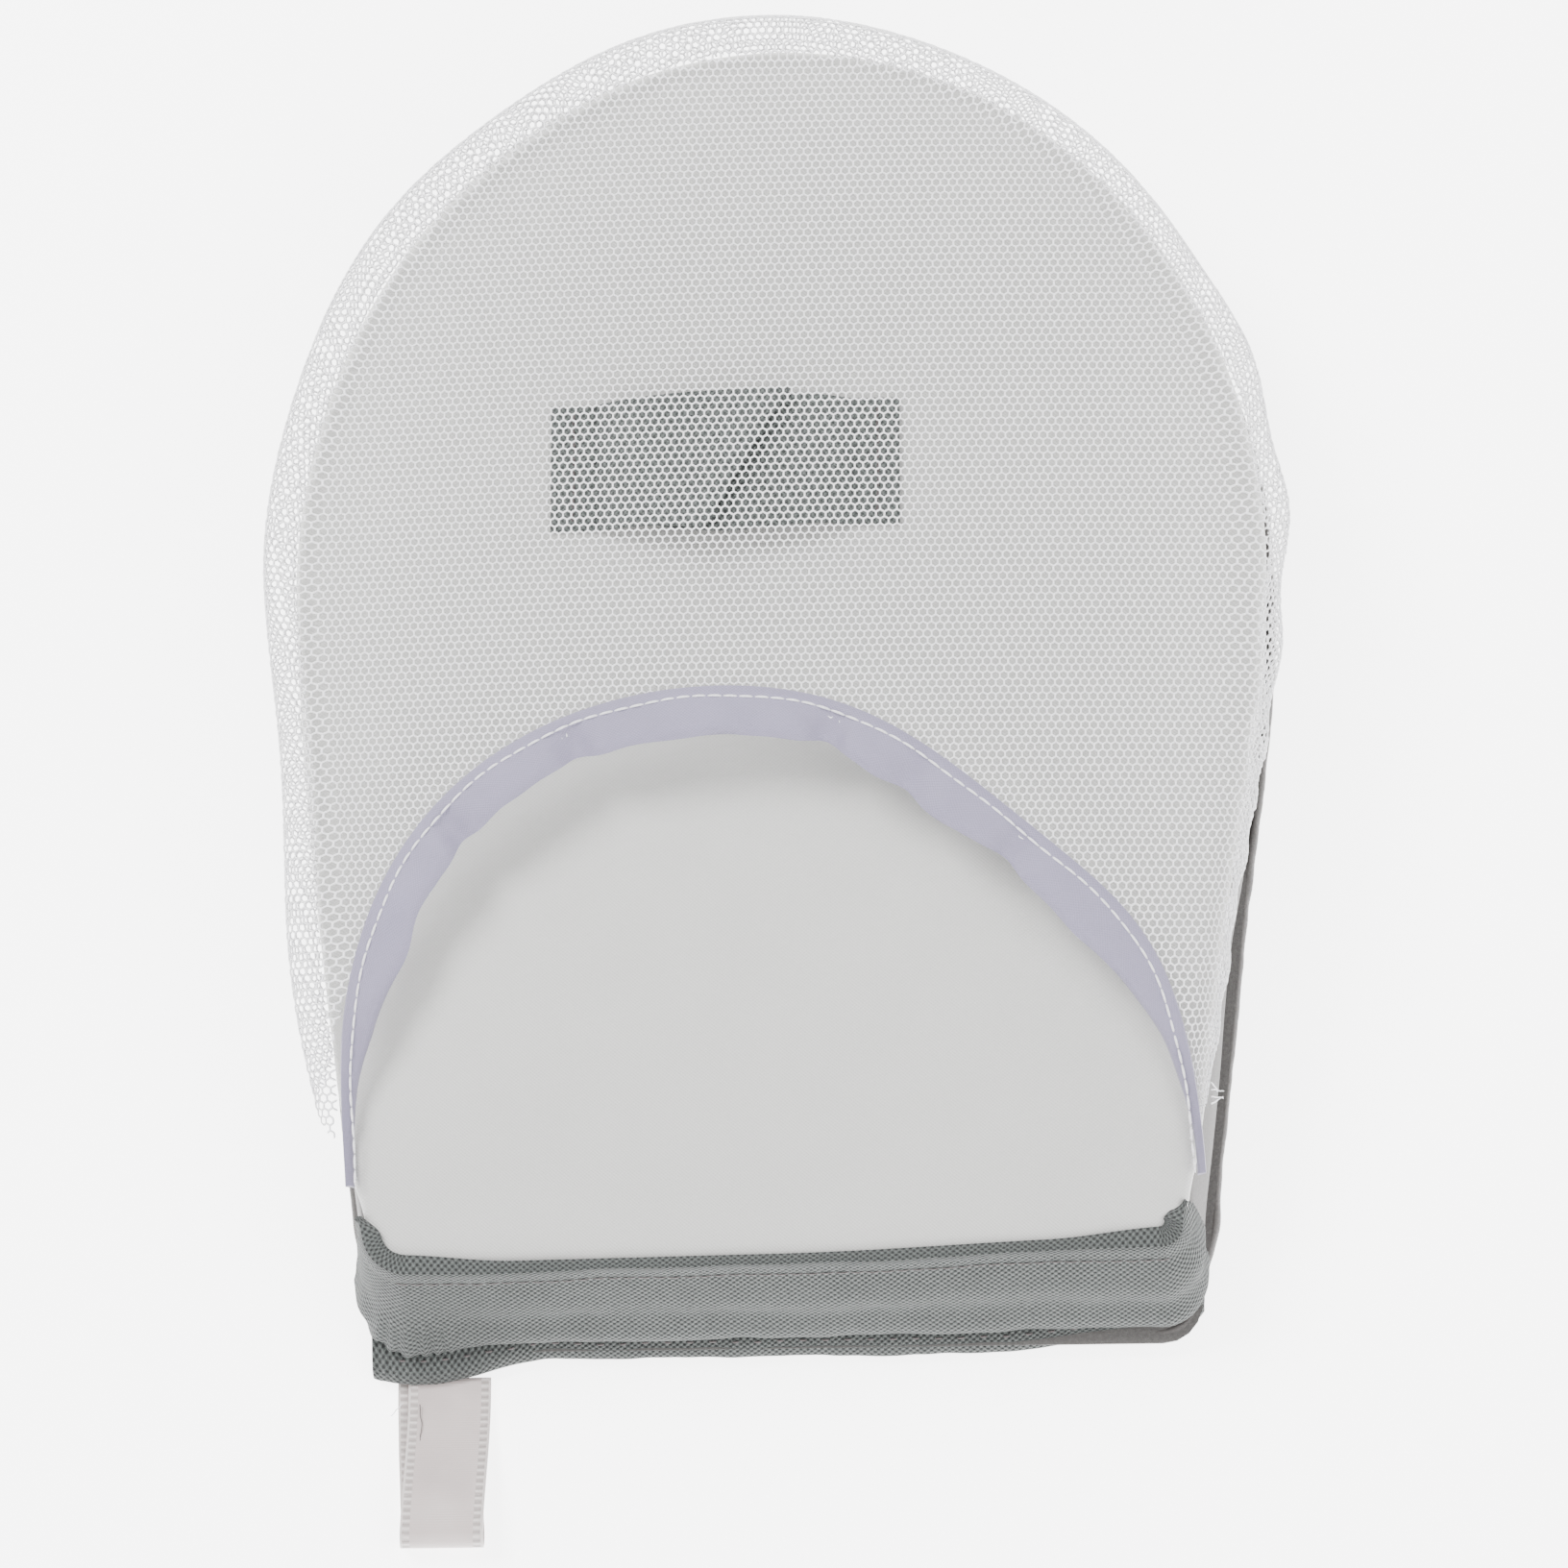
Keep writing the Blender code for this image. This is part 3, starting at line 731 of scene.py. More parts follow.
def dome_rows(shares, base, height, drop=0.0):
    """Rings drawn in to the middle of the pad, at the field's height."""
    middle = np.array([0.0, WIDEST_Y - 21.0])
    rows = []
    for share in shares:
        plan = middle + (base[:, :2] - middle) * share
        rows.append(np.column_stack([plan, height(plan[:, 0], plan[:, 1]) - drop]))
    return rows


def make_foam():
    """The sponge under the lining and behind the walls."""
    plan = ring(0.0, WALL_TOP)
    section = [(2.6, 4.6), (2.1, 8.0), (1.9, 12.0), (2.3, 16.0), (3.2, 19.5), (4.2, 21.4), (5.6, 23.0)]
    heel = heel_share(plan)
    rows = []
    for inset, z in section:
        tuck = (1.4 + 1.6 * float(smooth((9 - z) / 4))) * heel
        rows.append(ring(inset + flared(plan, z) + tuck, z))
    top = ring(3.4 + flared(plan, WALL_TOP), WALL_TOP)
    rows += dome_rows(np.linspace(0.93, 0.05, 16), top, lining_field, 1.3)
    foam = add_piece("foam_pad", np.vstack(rows), closed_faces(len(rows), len(rows[0])), "pad", "foam")
    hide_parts("foam_core")


def make_lining():
    """The white lining: a taut dome whose edge rolls down to its seam."""
    edges = [(0.7, 22.2), (0.3, 23.0), (0.5, 24.0), (1.3, 24.8), (2.8, 25.3)]
    plan = ring(0.0, WALL_TOP)
    inward = flared(plan, WALL_TOP) + HEEL_TUCK * heel_share(plan)
    rows = [ring(inset + inward, z) for inset, z in edges]
    rows += dome_rows(np.linspace(0.95, 0.02, 46), ring(2.6 + inward, WALL_TOP + 3.0), lining_field)
    for k, row in enumerate(rows):
        calm = smooth((k - 1) / 6)
        row[:, 2] += 0.28 * calm * wobble(row, 26.0, 11) + 0.05 * calm * wobble(row, 7.0, 12)
        row[:, 2] -= 0.1 * (1 - calm) * (1 + wobble(row, 5.0, 13))
    uv = [r[:, :2] for r in rows]
    panel = add_cloth("lining_cloth", rows, "pad", "white_lining", 0.5, uv, loop=True, cap=True)
    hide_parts("lining_panel")


# --- the heel ---


def heel_rows(section, stations, shape, straight=False):
    """Rings through (inset, z) points at the heel's stations, moved by shape(share, points, out). Straight
    rings stand off the heel in one direction, round its corners too."""
    rows = []
    for k, (inset, z) in enumerate(section):
        points, normals = outline(heel_at(z))
        picked = stations % STATIONS
        p, n = points[picked], normals[picked]
        if straight:
            n = np.tile([0.0, -1.0], (len(p), 1))
        row = np.column_stack([p - n * (inset + flared(p, z))[:, None], np.full(len(p), z)])
        rows.append(shape(k / (len(section) - 1), row, np.column_stack([n, np.zeros(len(n))])))
    return rows


def densify(section, count):
    """count points along a smooth curve through the section's (inset, z) points."""
    section = np.array(section, float)
    where = run_length(section)
    t = np.linspace(0, where[-1], count)
    rows = np.column_stack([np.interp(t, where, section[:, i]) for i in range(2)])
    for _ in range(3):
        rows[1:-1] = (rows[:-2] + 2 * rows[1:-1] + rows[2:]) / 4
    return rows


def gusset_shape(share, row, out):
    """Puckers along the seams, a hollow above the fold, and a bunched left corner."""
    x = row[:, 0]
    puckers = 0.16 * wobble(row, 5.0, 21) + 0.3 * wobble(row, 18.0, 22) + 0.2
    left = hump(x, GUSSET[0][0] + 6.0, 13.0)
    ribs = 0.4 * np.sin(x * 2 * math.pi / 2.4 + 0.6 * np.sin(x)) * smooth((share - 0.5) / 0.25)
    hollow = -1.3 * hump(share, 0.62, 0.12) * (1 - left)
    calm = smooth(share / 0.12)
    end = smooth((row[:, 1] - heel_at(float(row[0, 2])) - 8.0) / 5)
    corner = (1.6 * smooth((np.abs(x) - 46) / 22) - 3.4 * end) * (1 - calm)
    slant = 0.9 * x / HEEL_HALF * (1 - smooth(share / 0.5))
    bunch = left * (3.0 * smooth((share - 0.55) / 0.4) + ribs)
    moved = row + out * (calm * (puckers + hollow + bunch) - corner - slant)[:, None]
    if share < 0.1:
        moved[:, 2] = np.maximum(moved[:, 2], lining_field(moved[:, 0], moved[:, 1]) + 0.45)
    moved[:, 2] -= 2.2 * end * (1 - calm)
    return moved


def make_gusset():
    section = densify([(3.7, 25.6), (3.0, 25.6), (2.0, 25.0), (1.1, 23.5), (0.4, 20.5), (-0.4, 16.0),
                       (-0.8, 12.0), (-0.3, 8.5), (1.4, 6.0), (2.8, 4.9)], 34)
    rows = heel_rows(section, HEEL_STATIONS, gusset_shape)
    uv = uv_rows(rows)
    wall = add_cloth("heel_gusset_cloth", rows[::-1], "pad", "grey_oxford", 0.9, uv[::-1])
    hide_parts("heel_gusset")
    topstitch("gusset_stitches", "gusset_topstitch", rows, 16, 2.6, 0.9, 0.15)


def topstitch(name, node, rows, ends, pitch, fill, radius):
    """Dark stitches just off the cloth's eighth row, which stop short of both its ends."""
    out = np.cross(np.gradient(rows[7], axis=0), rows[8] - rows[6])
    out /= np.linalg.norm(out, axis=1)[:, None]
    out *= -np.sign(np.sum(out[:, 1]))
    path = rows[7] + out * 0.1
    inner = slice(ends, -ends)
    seam = add_piece(name, *stitches(path[inner], out[inner], pitch, fill, radius), "pad", "dark_thread")
    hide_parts(node)


def hem_shape(share, row, out):
    """The lip's edge rises and falls. Its left end is square and hangs lowest, its right end is drawn in."""
    x = row[:, 0]
    left = smooth((HEM[0][0] + 30.0 - x) / 24.0)
    right = smooth((x - HEM[1][0] + 34.0) / 30.0)
    edge = 4.2 * left - 2.0 * right + 0.5 * wobble(row, 20.0, 31)
    reach = edge * smooth(share / 0.45) + 0.12 * wobble(row, 4.0, 32)
    ribs = 0.25 * left * np.sin(x * 2 * math.pi / 1.9)
    moved = row + out * reach[:, None]
    heel = row[len(row) // 2, 1]
    moved[:, 1] -= 0.85 * left * (row[:, 1] - heel)
    moved[:, 2] += 0.2 * wobble(row, 15.0, 33) * (1 - share) + ribs * (1 - share)
    return moved


def make_hem():
    """A flat lip: the gusset's foot turned out, folded and sewn."""
    low, high = HEM[0][2], HEM[1][2]
    section = densify([(4.2, high + 0.2), (1.8, high - 0.7), (0.6, high - 1.6), (-0.4, low + 1.3),
                       (-0.8, low + 0.5), (-0.4, low - 0.1), (0.8, low - 0.2), (2.2, low - 0.1)], 26)
    rows = heel_rows(section, HEEL_STATIONS[4:-8], hem_shape, straight=True)
    uv = uv_rows(rows)
    hem = add_cloth("heel_hem_cloth", rows[::-1], "pad", "grey_oxford", 0.6, uv[::-1])
    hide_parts("heel_hem")
    topstitch("hem_stitches", "hem_topstitch", rows, 8, 3.9, 0.32, 0.2)


# --- the pocket ---

MOUTH_FOOT = TAPE[0][1]
MOUTH_RISE = TAPE[1][1] - TAPE[0][1]
MOUTH_HALF = (TAPE[1][0] - TAPE[0][0]) / 2 - 0.4
MOUTH_SKEW = -9.0


def arch(turn):
    """(x, y) on the mouth's outer edge at angle turn from its right foot, slack on the right."""
    turn = np.asarray(turn, float)
    climb = np.clip(np.sin(turn), 0, 1)
    fullness = 0.82 + 0.42 * hump(turn, 1.0, 0.42)
    x = MOUTH_HALF * np.cos(turn) + MOUTH_SKEW * climb - 2.3 * hump(turn, 0.0, 0.35)
    return np.column_stack([x, MOUTH_FOOT + MOUTH_RISE * climb**fullness])


ARCH_TURNS = np.linspace(0, math.pi, 241)
ARCH = arch(ARCH_TURNS)


def pocket_top(x, y):
    """The pocket's height, which comes down to the lining at the mouth's feet."""
    sewn = lining_field(x, y) + 0.9
    return sewn + (net_field(x, y) - sewn) * smooth((y - MOUTH_FOOT + 1.0) / 30)


def under_arch(points, reach):
    """True for plan points that are further inside the mouth than reach from its outer edge."""
    order = np.argsort(ARCH[:, 0])
    top = np.interp(points[:, 0], ARCH[order, 0], ARCH[order, 1], left=-1e3, right=-1e3)
    return points[:, 1] < top - reach


PITCH = 1.46
ROW = PITCH * math.sqrt(3) / 2
REACH = PITCH / math.sqrt(3)  # from the middle of a hole to a crossing
HOLE = 0.75  # a hole's size as a share of its cell
YARN = 0.38
WALL_REACH = 18.5
SEAM_Z = NET[0][2] + 0.6


# (y, how far out, half length) of the gathered net's billows on the right side
BILLOWS = ((67, 1.6, 11.0), (41, 2.1, 9.0), (18, 1.3, 8.0), (0.5, 1.0, 4.4), (-9.5, 0.9, 3.8),
           (-19, 1.1, 4.2), (-28.5, 0.8, 3.6), (-38, 1.0, 4.4), (-49, 0.7, 4.0))


class NetShape:
    """Takes flat net to its place: over the dome, then round the bulge beyond its shoulder to the seam."""

    def __init__(self):
        points, normals = outline(heel_at(WALL_TOP))
        self.edge = points - normals * SHOULDER_INSET
        self.normals = normals
        self.where = run_length(np.vstack([points, points[:1]]))[:-1]

    def nearest(self, flat):
        """For each flat point: its nearest edge station, how far it is beyond the edge, its step from it."""
        index = np.empty(len(flat), int)
        for first in range(0, len(flat), 4000):
            block = flat[first : first + 4000]
            gaps = ((block[:, None, :] - self.edge[None, :, :]) ** 2).sum(axis=2)
            index[first : first + 4000] = gaps.argmin(axis=1)
        step = flat - self.edge[index]
        return index, (step * self.normals[index]).sum(axis=1), step

    def __call__(self, flat):
        index, beyond, step = self.nearest(flat)
        n = self.normals[index]
        edge = self.edge[index]
        plan = edge + step - n * np.maximum(beyond, 0)[:, None]
        top = pocket_top(plan[:, 0], plan[:, 1]) - 0.5
        fall = np.clip(beyond / WALL_REACH, 0, 1)
        right = right_share(edge)
        left = smooth(-edge[:, 0] / 60)
        swell = 9.4 + 0.9 * left - 5.1 * right
        tuck = 5.8 - 3.1 * right
        round_over = np.sin(math.pi / 2 * np.clip(fall / 0.55, 0, 1))
        bulge = swell * round_over + (tuck - swell) * smooth((fall - 0.5) / 0.5)
        drop = (top - SEAM_Z) * (1 - np.cos(math.pi / 2 * fall) ** 0.9)
        place = np.column_stack([plan + n * bulge[:, None], top - drop])
        push = self.folds(edge, self.where[index], beyond, left)
        place[:, :2] += n * push[:, None]
        place[:, 2] += push * 0.4
        return place

    def folds(self, edge, s, beyond, left):
        """Billows between the tacks of the right side's seam, and slow waves along the whole of it."""
        y = edge[:, 1] + 0.5 * (beyond - 9.0)
        near = hump(np.minimum(beyond, 9.0), 9.0, 10.0)
        billows = sum(out * hump(y, at, half) for at, out, half in BILLOWS)
        slow = np.sin(s / 11.0 + 1.3) + np.sin(s / 17.0)
        return near * (smooth(edge[:, 0] / 50) * (billows - 0.5) + slow * (0.2 + 0.35 * left))


class HexNet:
    """A flat hexagonal net: holes on staggered lines, each with a crossing of kind 0 at its top and one of
    kind 1 at its foot. A crossing is known by one number."""

    def __init__(self, low, high):
        self.low = low
        self.columns = int((high[0] - low[0]) / PITCH) + 4
        self.lines = int((high[1] - low[1]) / ROW) + 4

    def centre(self, a, b):
        """The middle of hole a on line b."""
        return np.column_stack([self.low[0] + PITCH * (a + 0.5 * (b % 2)), self.low[1] + ROW * b])

    def crossing(self, a, b, kind):
        return 2 * (a * self.lines + b) + kind

    def hole(self, ids):
        """(place in its line, line, kind) of the hole that each crossing belongs to."""
        return ids // 2 // self.lines, ids // 2 % self.lines, ids % 2

    def places(self, ids):
        a, b, kind = self.hole(ids)
        return self.centre(a, b) + np.column_stack([np.zeros(len(ids)), np.where(kind == 0, REACH, -REACH)])

    def holes(self, ids):
        """The middles of the three holes round each crossing: its own, the right one and the left one."""
        a, b, kind = self.hole(ids)
        step = np.where(kind == 0, 1, -1)
        return self.centre(a, b), self.centre(a + b % 2, b + step), self.centre(a - 1 + b % 2, b + step)

    def struts(self):
        """(kind 0 crossings, kind 1 crossings) joined by each of the three runs of yarn."""
        a, b = np.meshgrid(np.arange(1, self.columns - 2), np.arange(1, self.lines - 3), indexing="ij")
        a, b = a.ravel(), b.ravel()
        first = self.crossing(a, b, 0)
        return [(first, self.crossing(a + b % 2, b + 1, 1)),
                (first, self.crossing(a - 1 + b % 2, b + 1, 1)),
                (first, self.crossing(a, b + 2, 1))]


# A crossing has four points: its ridge, then the corners of its own, its right and its left hole.
# For each run of yarn, the corners on its two sides at its kind 0 end and at its kind 1 end:
YARN_SIDES = (((1, 2), (3, 1)), ((3, 1), (1, 2)), ((2, 3), (2, 3)))


def net_half(shape, side):
    """(points, faces) of one half of the net, -1 for the left, with each run of yarn as a closed prism."""
    net = HexNet((NET[0][0] - 14.0, MOUTH_FOOT - 6.0), (NET[1][0] + 14.0, NET[1][1] + 14.0))
    runs = []
    for first, second in net.struts():
        middle = (net.places(first) + net.places(second)) / 2
        beyond = shape.nearest(middle)[1]
        keep = (np.where(middle[:, 0] < 0, -1, 1) == side) & ~under_arch(middle, 3.0)
        keep &= (beyond < WALL_REACH - 0.5) & (middle[:, 1] > MOUTH_FOOT + 1.0 + 1.2 * np.maximum(beyond, 0))
        runs.append((first[keep], second[keep]))
    ids = np.unique(np.concatenate([ends for run in runs for ends in run]))
    at = net.places(ids)
    flat = np.stack([at] + [at + (hole - at) * (1 - HOLE) for hole in net.holes(ids)], axis=1)
    points = yarn_points(shape, flat)
    faces = []
    joined = np.zeros((len(ids), 3), bool)
    for k, (first, second) in enumerate(runs):
        a, b = np.searchsorted(ids, first), np.searchsorted(ids, second)
        joined[a, k] = joined[b, k] = True
        a, b = 4 * a, 4 * b
        (ar, al), (br, bl) = YARN_SIDES[k]
        for quad in ((a, a + ar, b + br, b), (b, b + bl, a + al, a), (a + al, b + bl, b + br, a + ar)):
            faces += np.stack(quad, axis=1).tolist()
    base = 4 * np.arange(len(ids))
    faces += np.stack([base + 1, base + 2, base + 3], axis=1).tolist()
    for k in range(3):
        for kind in (0, 1):
            ends = base[~joined[:, k] & (ids % 2 == kind)]
            right, left = YARN_SIDES[k][kind]
            faces += np.stack([ends, ends + right, ends + left], axis=1).tolist()
    return points, faces


def yarn_points(shape, flat):
    """The four points of each flat crossing, taken to their place on the net: a ridge above three corners."""
    step = 0.3
    place = shape(flat[:, 0])
    du = (shape(flat[:, 0] + [step, 0]) - place) / step
    dv = (shape(flat[:, 0] + [0, step]) - place) / step
    normal = np.cross(du, dv)
    normal /= np.linalg.norm(normal, axis=1)[:, None]
    offset = flat - flat[:, :1]
    points = place[:, None] + offset[..., :1] * du[:, None] + offset[..., 1:] * dv[:, None]
    points[:, 0] += normal * YARN / 2
    points[:, 1:] -= normal[:, None] * YARN * 0.35
    return points.reshape(-1, 3)


def make_net():
    shape = NetShape()
    for label, side in SIDES:
        points, faces = net_half(shape, side)
        half = add_piece(f"net_{label}", points, faces, None, "white_net", closed=True)
        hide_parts("net_panel")
        sides_stay_sewn(half)


# --- the mouth's tape ---

PUCKERS = (0.83, 1.08, 1.30, 1.95, 2.35)  # turns of the arch where the tape is pinched


def arch_frame():
    """The arch's turns, points, inward directions and distances, with a station on the centreline."""
    turns = np.sort(np.append(ARCH_TURNS, np.interp(0.0, ARCH[::-1, 0], ARCH_TURNS[::-1])))
    points = arch(turns)
    along = np.gradient(points, axis=0)
    along /= np.linalg.norm(along, axis=1)[:, None]
    return turns, points, np.column_stack([-along[:, 1], along[:, 0]]), run_length(points)


def tape_rows():
    """(points, inward directions, distances, sections, profile) along the mouth. A section is a folded strip,
    rolled at its free edge and thin at its sewn edge."""
    turns, points, inward, where = arch_frame()
    foot = smooth(np.minimum(turns, math.pi - turns) / 0.5)
    pinch = sum(hump(turns, p, 0.045) for p in PUCKERS)
    width = (1.5 + 7.3 * foot) * (1 + 0.1 * wobble_line(where, 13.0, 41)) - 1.4 * pinch
    profile = [(0.0, 0.0, 0.0), (0.06, 0.45, 0.05), (0.2, 0.5, 0.1), (0.4, 0.6, 0.45), (0.6, 0.8, 0.85),
               (0.8, 0.8, 1.1), (0.93, 0.45, 1.1), (1.0, -0.35, 0.7), (0.95, -1.05, 0.4), (0.8, -1.3, 0.2),
               (0.5, -1.1, 0.1), (0.2, -0.8, 0.0), (0.03, -0.6, 0.0)]
    rows = []
    for share, lift, loose in profile:
        plan = points + inward * (width * share - 0.4)[:, None]
        z = pocket_top(plan[:, 0], plan[:, 1]) + 0.1 + lift
        place = np.column_stack([plan, z])
        ripple = 0.28 * wobble(place, 7.0, 42) + 0.12 * wobble(place, 2.6, 43)
        z += loose * (2.0 * ripple - 2.2 * pinch) - 1.2 * share * (1 - foot)
        rows.append(np.column_stack([plan, z]))
    return points, inward, where, np.stack(rows, axis=1), profile


def make_tape():
    points, inward, where, sections, profile = tape_rows()
    v = run_length(np.array([(a * 8.8, b) for a, b, _ in profile]))
    split = int(np.argmin(np.abs(points[:, 0])))
    sides = len(profile)
    for label, side, span in (("right", 1, slice(0, split + 1)), ("left", -1, slice(split, len(points)))):
        part = sections[span]
        faces = closed_faces(len(part), sides, flip=True)
        uv = np.stack([np.column_stack([np.full(sides, w), v]) for w in where[span]]).reshape(-1, 2)
        skin = part.reshape(-1, 3)
        tape = add_piece(f"mouth_tape_{label}", skin, faces, None, "satin_tape", uv, closed=True)
        tape.data.set_sharp_from_angle(angle=math.radians(60))
        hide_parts("mouth_binding")
        sew_mouth(label, points[span], inward[span])
        sides_stay_sewn(tape)


def sides_stay_sewn(piece):
    """Bakes the piece's transform into its mesh."""
    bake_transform(piece)


def sew_mouth(label, points, inward):
    plan = points + inward * 1.5
    wave = 0.12 * np.sin(run_length(plan) / 3.1)
    plan = plan + inward * wave[:, None]
    path = np.column_stack([plan, pocket_top(plan[:, 0], plan[:, 1]) + 0.72])
    geometry = stitches(path, (0, 0, 1), 2.7, 0.93, 0.22, 0.1)
    seam = add_piece(f"mouth_stitches_{label}", *geometry, None, "white_thread", closed=True)
    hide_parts("mouth_topstitch")
    sides_stay_sewn(seam)


# --- the finger strap ---

STRAP_X = (STRAP[0][0] + STRAP[1][0]) / 2
STRAP_Y = (STRAP[0][1] + STRAP[1][1]) / 2
STRAP_HALF = (STRAP[1][0] - STRAP[0][0]) / 2
STRAP_WIDE = STRAP[1][1] - STRAP[0][1]
STRAP_ARCH = 5.0
PLEAT = 7.5  # how far the slack strap is folded back over itself


def strap_line(v):
    """(x, lift) along the free span at v across it, -1 to 1. Its left part lies folded over the right."""
    fold = STRAP_X + 0.5 + 7.5 * v
    out, back = fold + PLEAT / 2, fold - PLEAT / 2
    low, high = STRAP_X - STRAP_HALF, STRAP_X + STRAP_HALF
    line = np.array([(low, 0.0), (fold - 9.0, 0.7), (out - 1.8, 3.2), (out, 3.3), (out + 0.6, 2.6),
                     (out - 0.1, 1.9), (back + 0.2, 1.3), (back - 0.4, 0.7), (back + 0.2, 0.1),
                     (fold + 9.0, 0.0), (high, 0.0)])
    where = run_length(line)
    steps = np.linspace(0, where[-1], 76)
    xs, layer = np.interp(steps, where, line[:, 0]), np.interp(steps, where, line[:, 1])
    return xs, STRAP_ARCH * (1 - np.abs((np.clip(xs, low, high) - STRAP_X) / STRAP_HALF) ** 3.4) + layer


def strap_points():
    """Rows across the strap, each a line of points along it."""
    rows = []
    for v in np.linspace(-1, 1, 25):
        xs, rise = strap_line(v)
        middle = hump(xs, STRAP_X, 13.0)
        ys = STRAP_Y + v * STRAP_WIDE / 2 - 1.8 * middle * smooth((0.3 - v) / 1.3) + 0.6 * middle * smooth(v)
        plan = np.column_stack([xs, ys, np.zeros(len(xs))])
        z = lining_field(xs, ys) + 0.55 + rise + 0.25 * wobble(plan, 6.0, 51)
        rows.append(np.column_stack([xs, ys, z]))
    return rows


def make_strap():
    rows = strap_points()
    uv = [np.column_stack([np.full(len(r), r[0, 1]), run_length(r)]) for r in rows]
    # The strap takes the lighter copy of the grey oxford: painted light.
    strap = add_cloth("finger_strap_cloth", rows, None, "grey_oxford", 0.6, uv, material="grey_strap")
    for label, side in SIDES:
        half = cut_half(strap, f"finger_strap_{label}", STRAP_X, side)
        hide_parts("finger_strap")
        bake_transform(half)
    bpy.data.objects.remove(strap)


def cut_half(obj, name, x, side):
    """A closed copy of one side of a piece, cut at x."""
    bm = bmesh.new()
    bm.from_mesh(obj.data)
    cut = bmesh.ops.bisect_plane(bm, geom=bm.verts[:] + bm.edges[:] + bm.faces[:], plane_co=(x * MM, 0, 0),
                                 plane_no=(-side, 0, 0), clear_outer=True, dist=1e-7)
    edges = [e for e in cut["geom_cut"] if isinstance(e, bmesh.types.BMEdge)]
    bmesh.ops.holes_fill(bm, edges=edges, sides=0)
    bmesh.ops.recalc_face_normals(bm, faces=bm.faces)
    mesh = bpy.data.meshes.new(name)
    bm.to_mesh(mesh)
    bm.free()
    for material in obj.data.materials:
        mesh.materials.append(material)
    mesh.set_sharp_from_angle(angle=math.radians(60))
    return add_object(name, mesh)


def make_strap_ends():
    """The ends sewn flat to the lining, their raw edges turned under."""
    for label, side in SIDES:
        low, high = TABS[label]
        xs = np.linspace(low[0] - 0.35, high[0] + 0.35, 12)
        rows = []
        for v in np.linspace(-1, 1, 25):
            ys = STRAP_Y + v * STRAP_WIDE / 2 + 0.15 * wobble_line(xs, 2.0, 55 + side)
            plan = np.column_stack([xs, ys, np.zeros(len(xs))])
            z = lining_field(xs, ys) + 0.75 + 0.16 * wobble(plan, 3.5, 56)
            rows.append(np.column_stack([xs, ys, z]))
        uv = [np.column_stack([r[:, 1], r[:, 0]]) for r in rows]
        # The strap's ends take the lighter copy of the grey oxford: painted light.
        tab = add_cloth(f"strap_end_{label}", rows, "pad", "grey_oxford", 0.8, uv, material="grey_strap")
        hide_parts(f"strap_tab_{label}")
        x = (low[0] + high[0]) / 2
        ys = np.linspace(STRAP_Y - STRAP_WIDE / 2 + 1.2, STRAP_Y + STRAP_WIDE / 2 - 1.2, 30)
        xs = x + 0.35 * wobble_line(ys, 6.0, 57)
        path = np.column_stack([xs, ys, lining_field(xs, ys) + 0.85])
        geometry = stitches(path, (0, 0, 1), 2.3, 0.8, 0.25)
        seam = add_piece(f"strap_stitches_{label}", *geometry, "pad", "dark_thread", closed=True)
        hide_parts(f"strap_stitch_{label}")


# --- the hanging loop and loose ends ---

RIBBON = 0.45


def loop_path():
    """(y, z, sideways shift) along the ribbon: out on the floor, round the bight and back under the hem."""
    root, end = TAIL[1][1] - 0.5, LOOP[0][1]
    low, high = 0.45, LOOP[1][2] - 0.5
    radius = (high - low) / 2
    bight = end + radius + 0.3
    out = np.linspace(root, bight, 26, endpoint=False)
    path = [(y, low + 0.25 * math.sin((y - root) * 0.35) ** 2) for y in out]
    for a in np.linspace(0, math.pi, 13):
        path.append((bight - radius * math.sin(a), (low + high) / 2 - radius * math.cos(a)))
    back = np.linspace(bight, root, 27)[1:]
    path += [(y, high + (1.2 - high) * float(smooth((y - bight) / (0.85 * (root - bight))))) for y in back]
    path = np.array(path)
    t = run_length(path) / run_length(path)[-1]
    return np.column_stack([path, 1.0 * (smooth(t) * 2 - 1)])


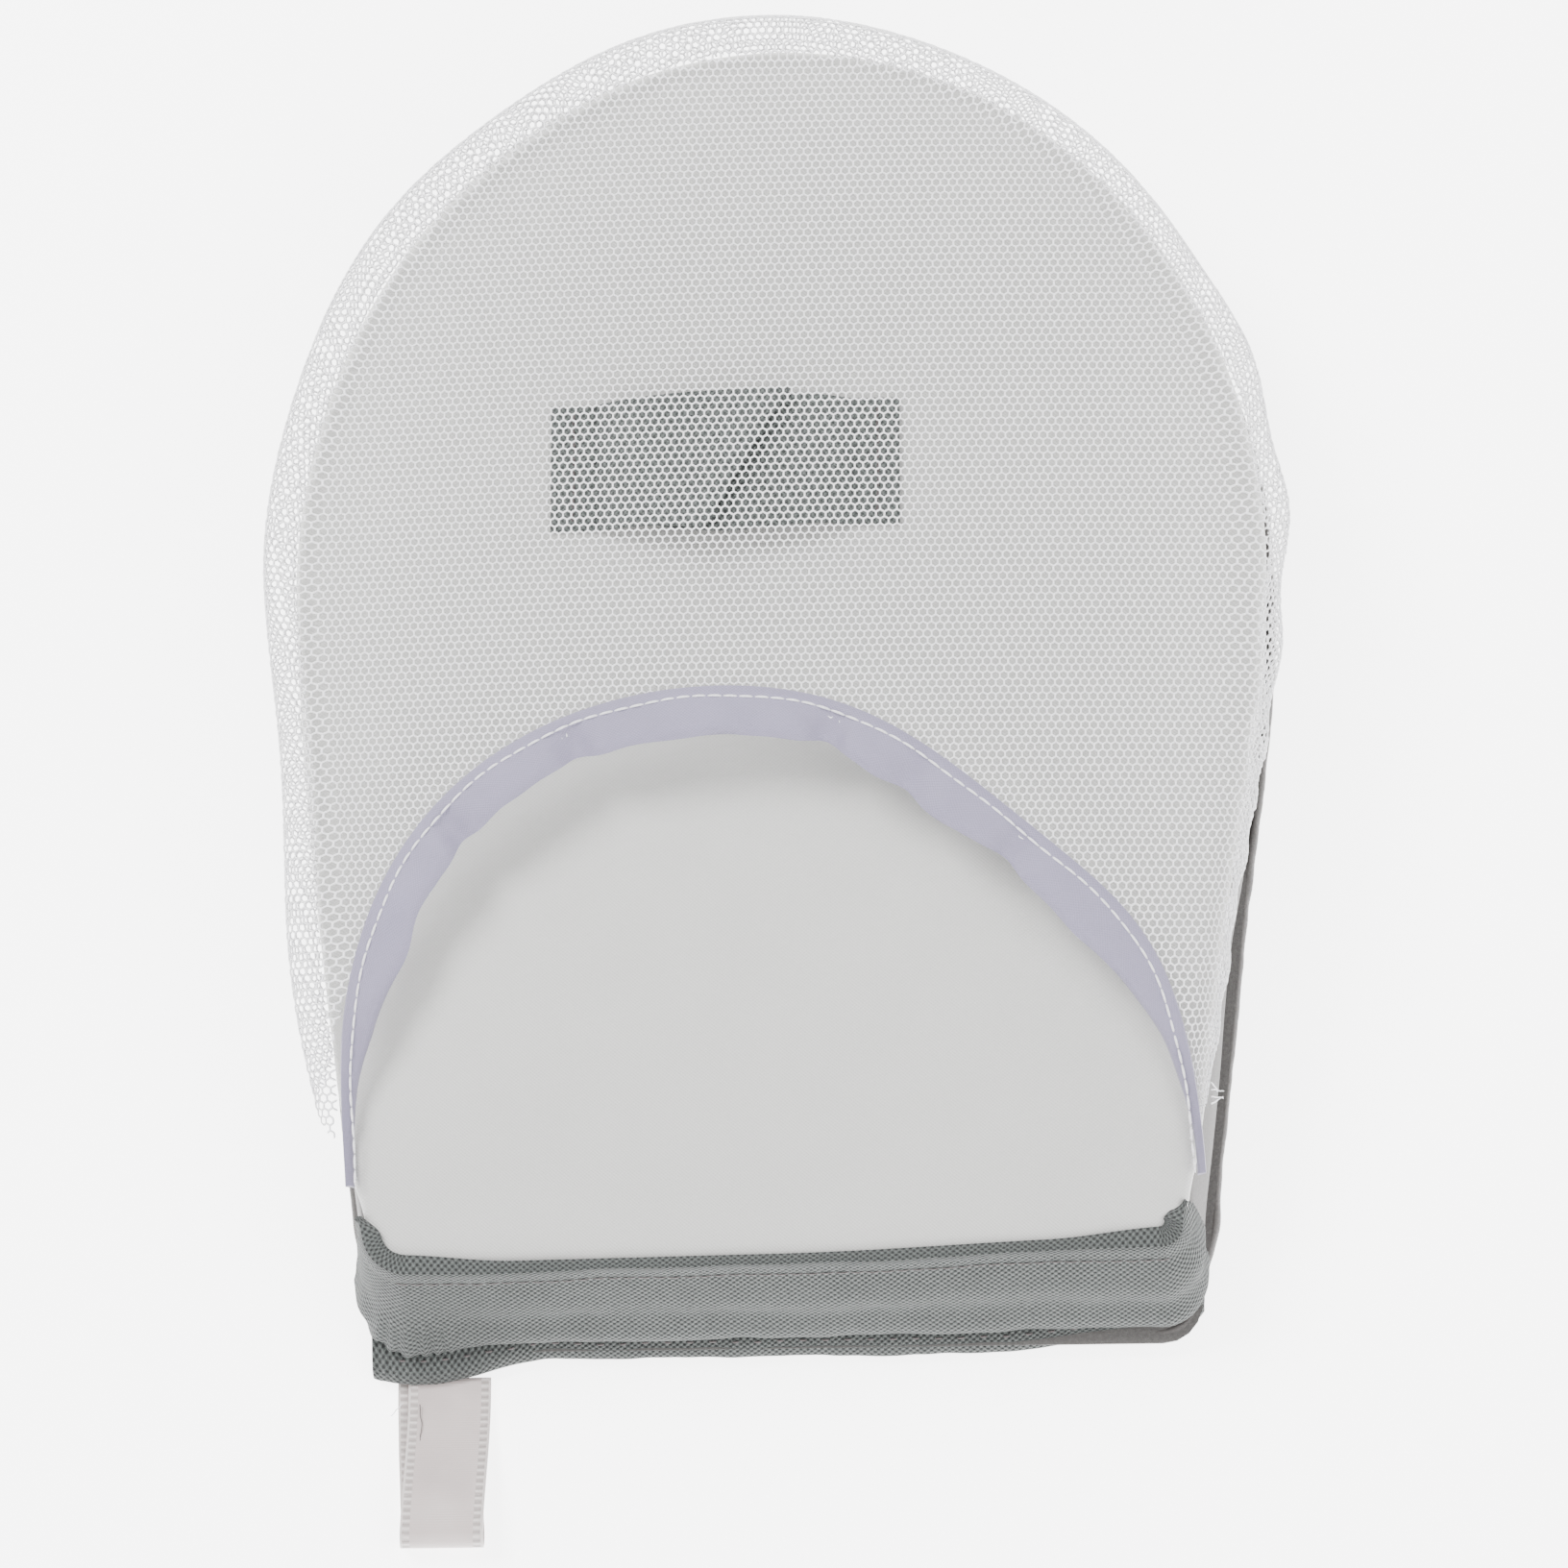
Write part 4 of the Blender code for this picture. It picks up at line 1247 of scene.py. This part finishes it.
def make_loop():
    path = loop_path()
    centre = (LOOP[0][0] + LOOP[1][0]) / 2
    half = (LOOP[1][0] - LOOP[0][0]) / 2 - 0.2
    rows = []
    for u in np.linspace(-half, half, 17):
        x = centre + u + path[:, 2]
        cup = 0.25 * (u / half) ** 2
        z = path[:, 1] + cup * np.sin(np.linspace(0, math.pi, len(path)))
        rows.append(np.column_stack([x, path[:, 0], z]))
    along = run_length(path[:, :2])
    uv = [np.column_stack([np.full(len(along), u), along]) for u in np.linspace(-half, half, 17)]
    loop = add_cloth("ribbon_loop", rows, None, "satin_ribbon", RIBBON, uv)
    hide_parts("hanging_loop", "loop_tail")
    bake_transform(loop)


def loose_thread(name, start, heading, length, seed, slot, radius=0.1):
    """A cut thread end that curls off the cloth."""
    point, heading = np.array(start, float), np.array(heading, float)
    heading /= np.linalg.norm(heading)
    path = [point]
    for k in range(14):
        bend = np.array([noise.noise(Vector((k * 0.35, seed, axis))) for axis in range(3)])
        heading = heading + 0.55 * bend
        heading /= np.linalg.norm(heading)
        path.append(path[-1] + heading * length / 14)
    path = np.array(path)
    path[:, 2] = np.maximum(path[:, 2], 0.3)
    radii = np.linspace(radius, radius * 0.6, len(path))
    add_piece(name, *tube(path, (0.1, 0.2, 1.0), radii), "pad", slot, closed=True)


def make_loose_threads():
    corner = np.array([HEM[0][0] + 1.5, HEM[0][1], 2.4])
    loose_thread("thread_end_1", corner + [0.0, -1.6, 0], (-0.9, -0.5, 0.1), 3.2, 1.0, "white_thread")
    loose_thread("thread_end_2", corner + [3.0, -1.8, 0], (0.1, -1.0, -0.1), 6.5, 2.0, "dark_thread")
    foot = np.array([MOUTH_HALF - 1.2, MOUTH_FOOT + 12.0, SEAM_Z + 1.0])
    for k in range(4):
        start, heading = foot + [0.4, 1.2 * k, 0.3 * k], (0.7, 0.5 - 0.4 * k, 0.5)
        loose_thread(f"net_end_{k + 1}", start, heading, 2.6, 5.0 + k, "white_net", 0.14)


def paint_felt_seam_shadow():
    """The felt keeps its CAD shape, between the ironing face and the foam. Its dark grey is painted shade:
    where its edge shows, it stands in for the seam's shadow.
    """
    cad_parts["insulating_felt"].material_slots[0].material = MATERIALS["felt"]


add_camera()
add_studio()
make_side_band()
make_ironing_face()
make_bindings()
make_foam()
paint_felt_seam_shadow()
make_lining()
make_gusset()
make_hem()
make_net()
make_tape()
make_strap_ends()
make_strap()
make_loop()
make_loose_threads()
